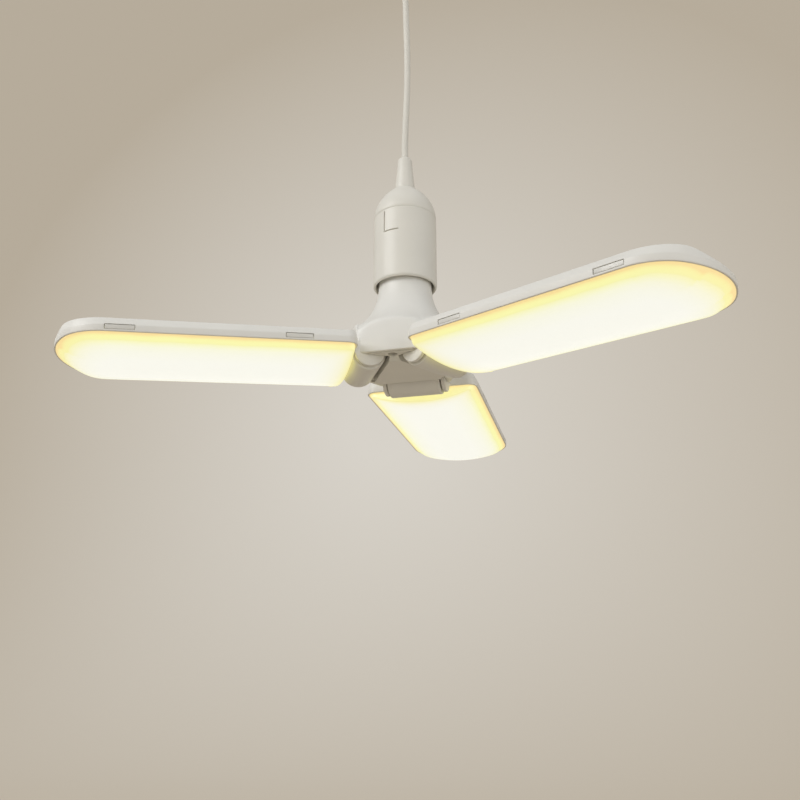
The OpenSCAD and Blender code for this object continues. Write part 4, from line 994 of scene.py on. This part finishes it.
# %% Casing: knuckle, neck, windows and screw dishes
STEP_HALF, STEP_LEN, STEP_TOP = 18, 5.5, 9.0
WINDOW_GAP, CUT_IN, CUT_OUT, KNUCKLE_HOLE = 0.2, 1, 2, PIN_R + 0.05
DISH_R, DISH_LIP_R, DISH_DEEP, HOLE_R = 3.0, 3.6, 1.02, 1.4
knuckle_line = rounded_line([[KNUCKLE_HOLE, -KNUCKLE_HALF], [KNUCKLE_R, -KNUCKLE_HALF],
                             [KNUCKLE_R, KNUCKLE_HALF], [KNUCKLE_HOLE, KNUCKLE_HALF]],
                            [0, 0.6, 0.6, 0], 5)
knuckle = lathe_mesh("knuckle", knuckle_line, 96, "Y", hinge_middle)
neck = box_mesh("neck", (28.0, -KNUCKLE_HALF, 0.1), (ROOT + 1.2, KNUCKLE_HALF, PANEL_H), 0.5)
step = box_mesh("step", (ROOT - 0.5, -STEP_HALF, 6.6), (ROOT + STEP_LEN, STEP_HALF, STEP_TOP), 0.6)
join_cut(tray, [neck, knuckle, step], "UNION")
cuts = []
for place in CLIPS:
    for side in (-1, 1):
        low, high = sorted((side * (PANEL_W / 2 + CUT_OUT), side * (PANEL_W / 2 - PANEL_WALL - CUT_IN)))
        cuts.append(box_mesh(f"window_{side}_{place:.0f}",
                             (place - CLIP_LEN / 2 - WINDOW_GAP, low, CLIP_Z - WINDOW_GAP),
                             (place + CLIP_LEN / 2 + WINDOW_GAP, high, CLIP_Z + CLIP_H + WINDOW_GAP),
                             0.25))
dish = rounded_line([[0, PANEL_H - DISH_DEEP], [DISH_R, PANEL_H - DISH_DEEP], [DISH_R, PANEL_H - 0.3],
                     [DISH_LIP_R, PANEL_H + 0.3], [DISH_LIP_R, PANEL_H + 3], [0, PANEL_H + 3]],
                    [0, 0.3, 0, 0, 0, 0], 4, False)
hole = rounded_line([[0, PANEL_H - 4], [HOLE_R, PANEL_H - 4], [HOLE_R, PANEL_H], [0, PANEL_H]],
                    0.0, 2, False)
for place in SCREWS:
    cuts += [lathe_mesh(f"dish_{place:.0f}", dish, 48, centre=(place, 0, 0), closed=False),
             lathe_mesh(f"hole_{place:.0f}", hole, 32, centre=(place, 0, 0), closed=False)]
join_cut(tray, cuts, "DIFFERENCE")
print("casing faces", len(tray.data.polygons))

# %% [markdown]
# The opal cover is an arched sheet that snaps into the tray. A steep border 2.7 mm deep runs along
# both sides and round the tip. Inside its fold the sheet is part of a circle across the panel,
# 8 mm deep at the middle. Along the panel it stays level and then rises to the fold at the round
# tip. At the root it ends in an upright wall. Taking the lesser of the two shapes would leave a
# crease where they cross. With both as shares a and b of the full depth,
# a b / (a^p + b^p - (a b)^p)^(1/p) is a where b is full, b where a is full, and blends softly
# between. The glow follows the distance from the edge, so each point keeps that distance.

# %% Opal cover: its depth
DOME_DEEP, EDGE_W, EDGE_H, RISE_RUN, OPAL_T, FLANGE = 8.0, 3.3, 2.7, 18.7, 1.5, 1.2
END_WARMTH, END_ROUND, BLEND, LEAST_SHARE = 34.0, 0.7, 2.0, 1e-4
BORDER_ROWS, BEND_ROW, ARCH_ROWS, INSIDE_ROWS = 12, 6, 40, 20
COVER_INSET, LIP_INSET = PANEL_WALL + 0.1, RIM_W + 0.06
FOLD_INSET = COVER_INSET + EDGE_W
ARCH_DEEP = DOME_DEEP - EDGE_H
half_span = PANEL_W / 2 - FOLD_INSET
SPLIT_Y = CORNER_Y * (TIP_ARC_R - FOLD_INSET) / (TIP_ARC_R - CORNER_R)
arch_r = (half_span ** 2 + ARCH_DEEP ** 2) / (2 * ARCH_DEEP)
rise_r = (RISE_RUN ** 2 + ARCH_DEEP ** 2) / (2 * ARCH_DEEP)


def fold_end(y):
    """How far along the fold reaches at a distance y off its middle line: the tip's blunt arc, then
    the corner's arc."""
    off = np.minimum(np.abs(y), half_span)
    arc_r, corner_r = TIP_ARC_R - FOLD_INSET, CORNER_R - FOLD_INSET
    blunt = TIP - TIP_ARC_R + np.sqrt(arc_r ** 2 - off ** 2)
    corner = CORNER_X + np.sqrt(np.maximum(corner_r ** 2 - np.maximum(off - CORNER_Y, 0) ** 2, 0))
    return np.where(off < SPLIT_Y, blunt, corner)


def cover_depth(x, y):
    """Depth below the rim inside the fold: the border's, and the arch blended with the tip's rise."""
    across = np.sqrt(arch_r ** 2 - np.clip(np.abs(y), 0, half_span) ** 2) - (arch_r - ARCH_DEEP)
    past = np.clip(RISE_RUN - (fold_end(y) - x), 0, RISE_RUN)
    along = np.sqrt(rise_r ** 2 - past ** 2) - (rise_r - ARCH_DEEP)
    a, b = (np.maximum(v / ARCH_DEEP, LEAST_SHARE) for v in (across, along))
    return EDGE_H + ARCH_DEEP * a * b / (a ** BLEND + b ** BLEND - (a * b) ** BLEND) ** (1 / BLEND)


print("cover depth at its middle", cover_depth(np.array([110.0]), np.array([0.0])).round(2))

# %% Opal cover: border, arch and flange


def upright_rows(inset, foot):
    """Two rows of the cover's flange inside the casing: its level top, and its foot."""
    return lifted(drawn_in([inset] * 2, [0, 0]), np.stack([np.full(len(rim_points), FLANGE), foot]))


# Each row of the border is a step down the slope on the sides and at the tip, and a step down the
# upright wall with its rounded lower edge at the root; slant says which of the two a point has.
slant = (1 + np.minimum(rim_out[:, 0], 0)) ** 0.7
steps = np.linspace(0, 1, BORDER_ROWS)[:, None]
bend = steps[BEND_ROW]
turning = np.clip((steps - bend) / (1 - bend), 0, 1) * TAU / 4
lip_in = slant * LIP_INSET + (1 - slant) * COVER_INSET
slope_in, round_in = (FOLD_INSET - LIP_INSET) * steps, END_ROUND * (1 - np.cos(turning))
border_in = lip_in + slant * slope_in + (1 - slant) * round_in
fold = drawn_in(border_in[-1:], [0])
wall_deep = cover_depth(fold[..., 0], fold[..., 1])
wall_fall = np.minimum(steps / bend, 1) * (wall_deep - END_ROUND) + END_ROUND * np.sin(turning)
border_z = -(slant * wall_deep * steps + (1 - slant) * wall_fall)
border = drawn_in(border_in, np.zeros(BORDER_ROWS))
arch_share = np.linspace(0, 1, ARCH_ROWS)[1:] ** 1.2
arch = drawn_in(np.repeat(border_in[-1:], len(arch_share), 0), arch_share)
arch_z = -cover_depth(arch[..., 0], arch[..., 1])
flange = upright_rows(COVER_INSET, slant * 0.96 + (1 - slant) * 0.5)
outer = np.concatenate((lifted(border, border_z), lifted(arch, arch_z)))

inside_in = COVER_INSET + OPAL_T + slant * (EDGE_W - OPAL_T + 0.2)
inside = drawn_in(np.repeat(inside_in[None], INSIDE_ROWS, 0), np.linspace(0, 1, INSIDE_ROWS))
inside_z = OPAL_T + 0.2 - cover_depth(inside[..., 0], inside[..., 1])
lining = upright_rows(COVER_INSET + OPAL_T, slant * 0.3 + (1 - slant) * inside_z[0])
inner = np.concatenate((lining, lifted(inside, inside_z)))
cover = closed_mesh("opal_cover", [(np.concatenate((inner[::-1], flange, outer)), False, True)])
print("cover faces", len(cover.data.polygons))

# %% Opal cover: clips
TONGUE_IN, TONGUE_OUT, TONGUE_LOW, NOSE_IN, NOSE_SHORT = 1.4, 0.1, 0.4, 0.5, 0.15
clip_tools = []
for place in CLIPS:
    for side in (-1, 1):
        wall, top = PANEL_W / 2 - PANEL_WALL, CLIP_Z + CLIP_H
        tongue = sorted((side * (wall - TONGUE_IN), side * (wall - TONGUE_OUT)))
        nose = sorted((side * (wall - NOSE_IN), side * (wall + PANEL_WALL - NOSE_SHORT)))
        clip_tools += [
            box_mesh(f"tongue_{place:.0f}_{side}", (place - CLIP_LEN / 2 + 1, tongue[0], TONGUE_LOW),
                     (place + CLIP_LEN / 2 - 1, tongue[1], top), 0.3),
            box_mesh(f"nose_{place:.0f}_{side}", (place - CLIP_LEN / 2, nose[0], CLIP_Z),
                     (place + CLIP_LEN / 2, nose[1], top), 0.35)]
join_cut(cover, clip_tools, "UNION")
print("cover with clips", len(cover.data.polygons))

# %% Opal cover: what its glow reads
RIM_POWER, FAR = 10.0, 99
LIT_TOP, LIT_FADE = 1.2, 0.4


def rim_distance(points):
    """Distance in from the panel's edge, in mm: the least of the way to the side, to the root and
    to the round tip, and in the tip's corners the way to the corner arc. At the root the upright
    wall takes the place of the border, so there the way goes down the wall."""
    x, y = points[:, 0], np.abs(points[:, 1])
    tip = TIP_ARC_R - np.hypot(np.maximum(x - (TIP - TIP_ARC_R), 0), y)
    past_x, past_y = x - CORNER_X, y - CORNER_Y
    corner = np.where((past_x > 0) & (past_y > 0), CORNER_R - np.hypot(past_x, past_y), FAR)
    down = np.clip(-points[:, 2] / cover_depth(x, y), 0, 1)
    root = COVER_INSET + EDGE_W * down + np.maximum(x - ROOT - COVER_INSET - END_ROUND, 0)
    return soft_least([np.maximum(v, 0.05) for v in (PANEL_W / 2 - y, root, tip, corner)], RIM_POWER)


co = np.empty(len(cover.data.vertices) * 3)
cover.data.vertices.foreach_get("co", co)
co = co.reshape(-1, 3)
to_end = np.clip(1 - np.minimum(co[:, 0] - ROOT, TIP - co[:, 0]) / END_WARMTH, 0, 1)
for label, values in (("rim_distance", rim_distance(co)), ("end_share", to_end ** 1.5),
                      ("lit", np.clip((LIT_TOP - co[:, 2]) / LIT_FADE, 0, 1))):
    cover.data.attributes.new(label, "FLOAT", "POINT").data.foreach_set("value", values)
    print(label, "from", round(float(values.min()), 2), "to", round(float(values.max()), 2))

# %% Three panels from one
hinge = Matrix.Translation(hinge_middle)
for number in (1, 2, 3):
    place = LAMP_PLACE @ Matrix.Rotation(HINGE_TURNS[number - 1], 4, "Z") \
        @ hinge @ Matrix.Rotation(REST_DROOP, 4, "Y") @ hinge.inverted()
    for model, finish, label in ((tray, white_plastic, "casing"), (cover, opal_diffuser, "diffuser")):
        piece = bpy.data.objects.new(f"panel_{label}_{number}", model.data.copy())
        bpy.context.scene.collection.objects.link(piece)
        settle(piece, place, finish, f"panel_{number}", f"{label}_{number}", sharp=30.0)
for model in (tray, cover):
    bpy.data.objects.remove(model)

# %% [markdown]
# The studio paper is pale and a little warm. A soft lighter patch behind the lamp, darker towards
# the edges, is painted into its colour: a painted pool of light that falls off to painted shade. A
# plain painted sheet would look grey here, because the lamps are aimed at the object and not at it.
# So the camera sees part of its colour as light of its own, and the rest still takes shadows.

# %% The studio paper and its painted pool of light
# Where the painted pool of light on the paper is centred, and the distances over which it fades.
PAINTED_GLOW_MIDDLE, PAINTED_GLOW_NEAR, PAINTED_GLOW_FAR, OWN_LIGHT = (-0.9, 3.0, 0.55), 0.2, 2.6, 0.72


def studio_paper(name, middle, edge):
    """Matt paper whose colour holds a painted pool of light: the first colour near the patch's middle,
    the second further out. For camera, gloss and glass rays, part of it shows its own colour.
    """
    made, tree, shader = finish_of(name)
    place = node(tree, "ShaderNodeTexCoord").outputs["Object"]
    away = node(tree, "ShaderNodeVectorMath", operation="DISTANCE")
    wire_in_order(tree, away, place, PAINTED_GLOW_MIDDLE)
    # Painted light: the paper's colour is lighter near the patch's middle and darker further out.
    colour = blend_colour(tree, spread(tree, away.outputs["Value"], PAINTED_GLOW_NEAR, PAINTED_GLOW_FAR, 0.0, 1.0),
                          middle, edge)
    fibre = noise(tree, place, 25.0, 3.0)
    wire(tree, shader, Base_Color=colour, Roughness=spread(tree, fibre, 0.3, 0.7, 0.75, 0.9))
    own = wire(tree, node(tree, "ShaderNodeEmission"), Color=colour)
    mix = wire_in_order(tree, node(tree, "ShaderNodeMixShader"),
                        maths(tree, "MULTIPLY", seen_rays(tree), OWN_LIGHT), shader.outputs[0], own[0])
    wire(tree, tree.nodes["Material Output"], Surface=mix)
    return made


# The first colour is the painted light behind the lamp, the second the painted shade at the edges.
floor.data.materials.append(studio_paper("studio_paper", (0.80, 0.76, 0.69), (0.56, 0.49, 0.39)))
print("materials", len(bpy.data.materials))

bpy.context.view_layer.update()
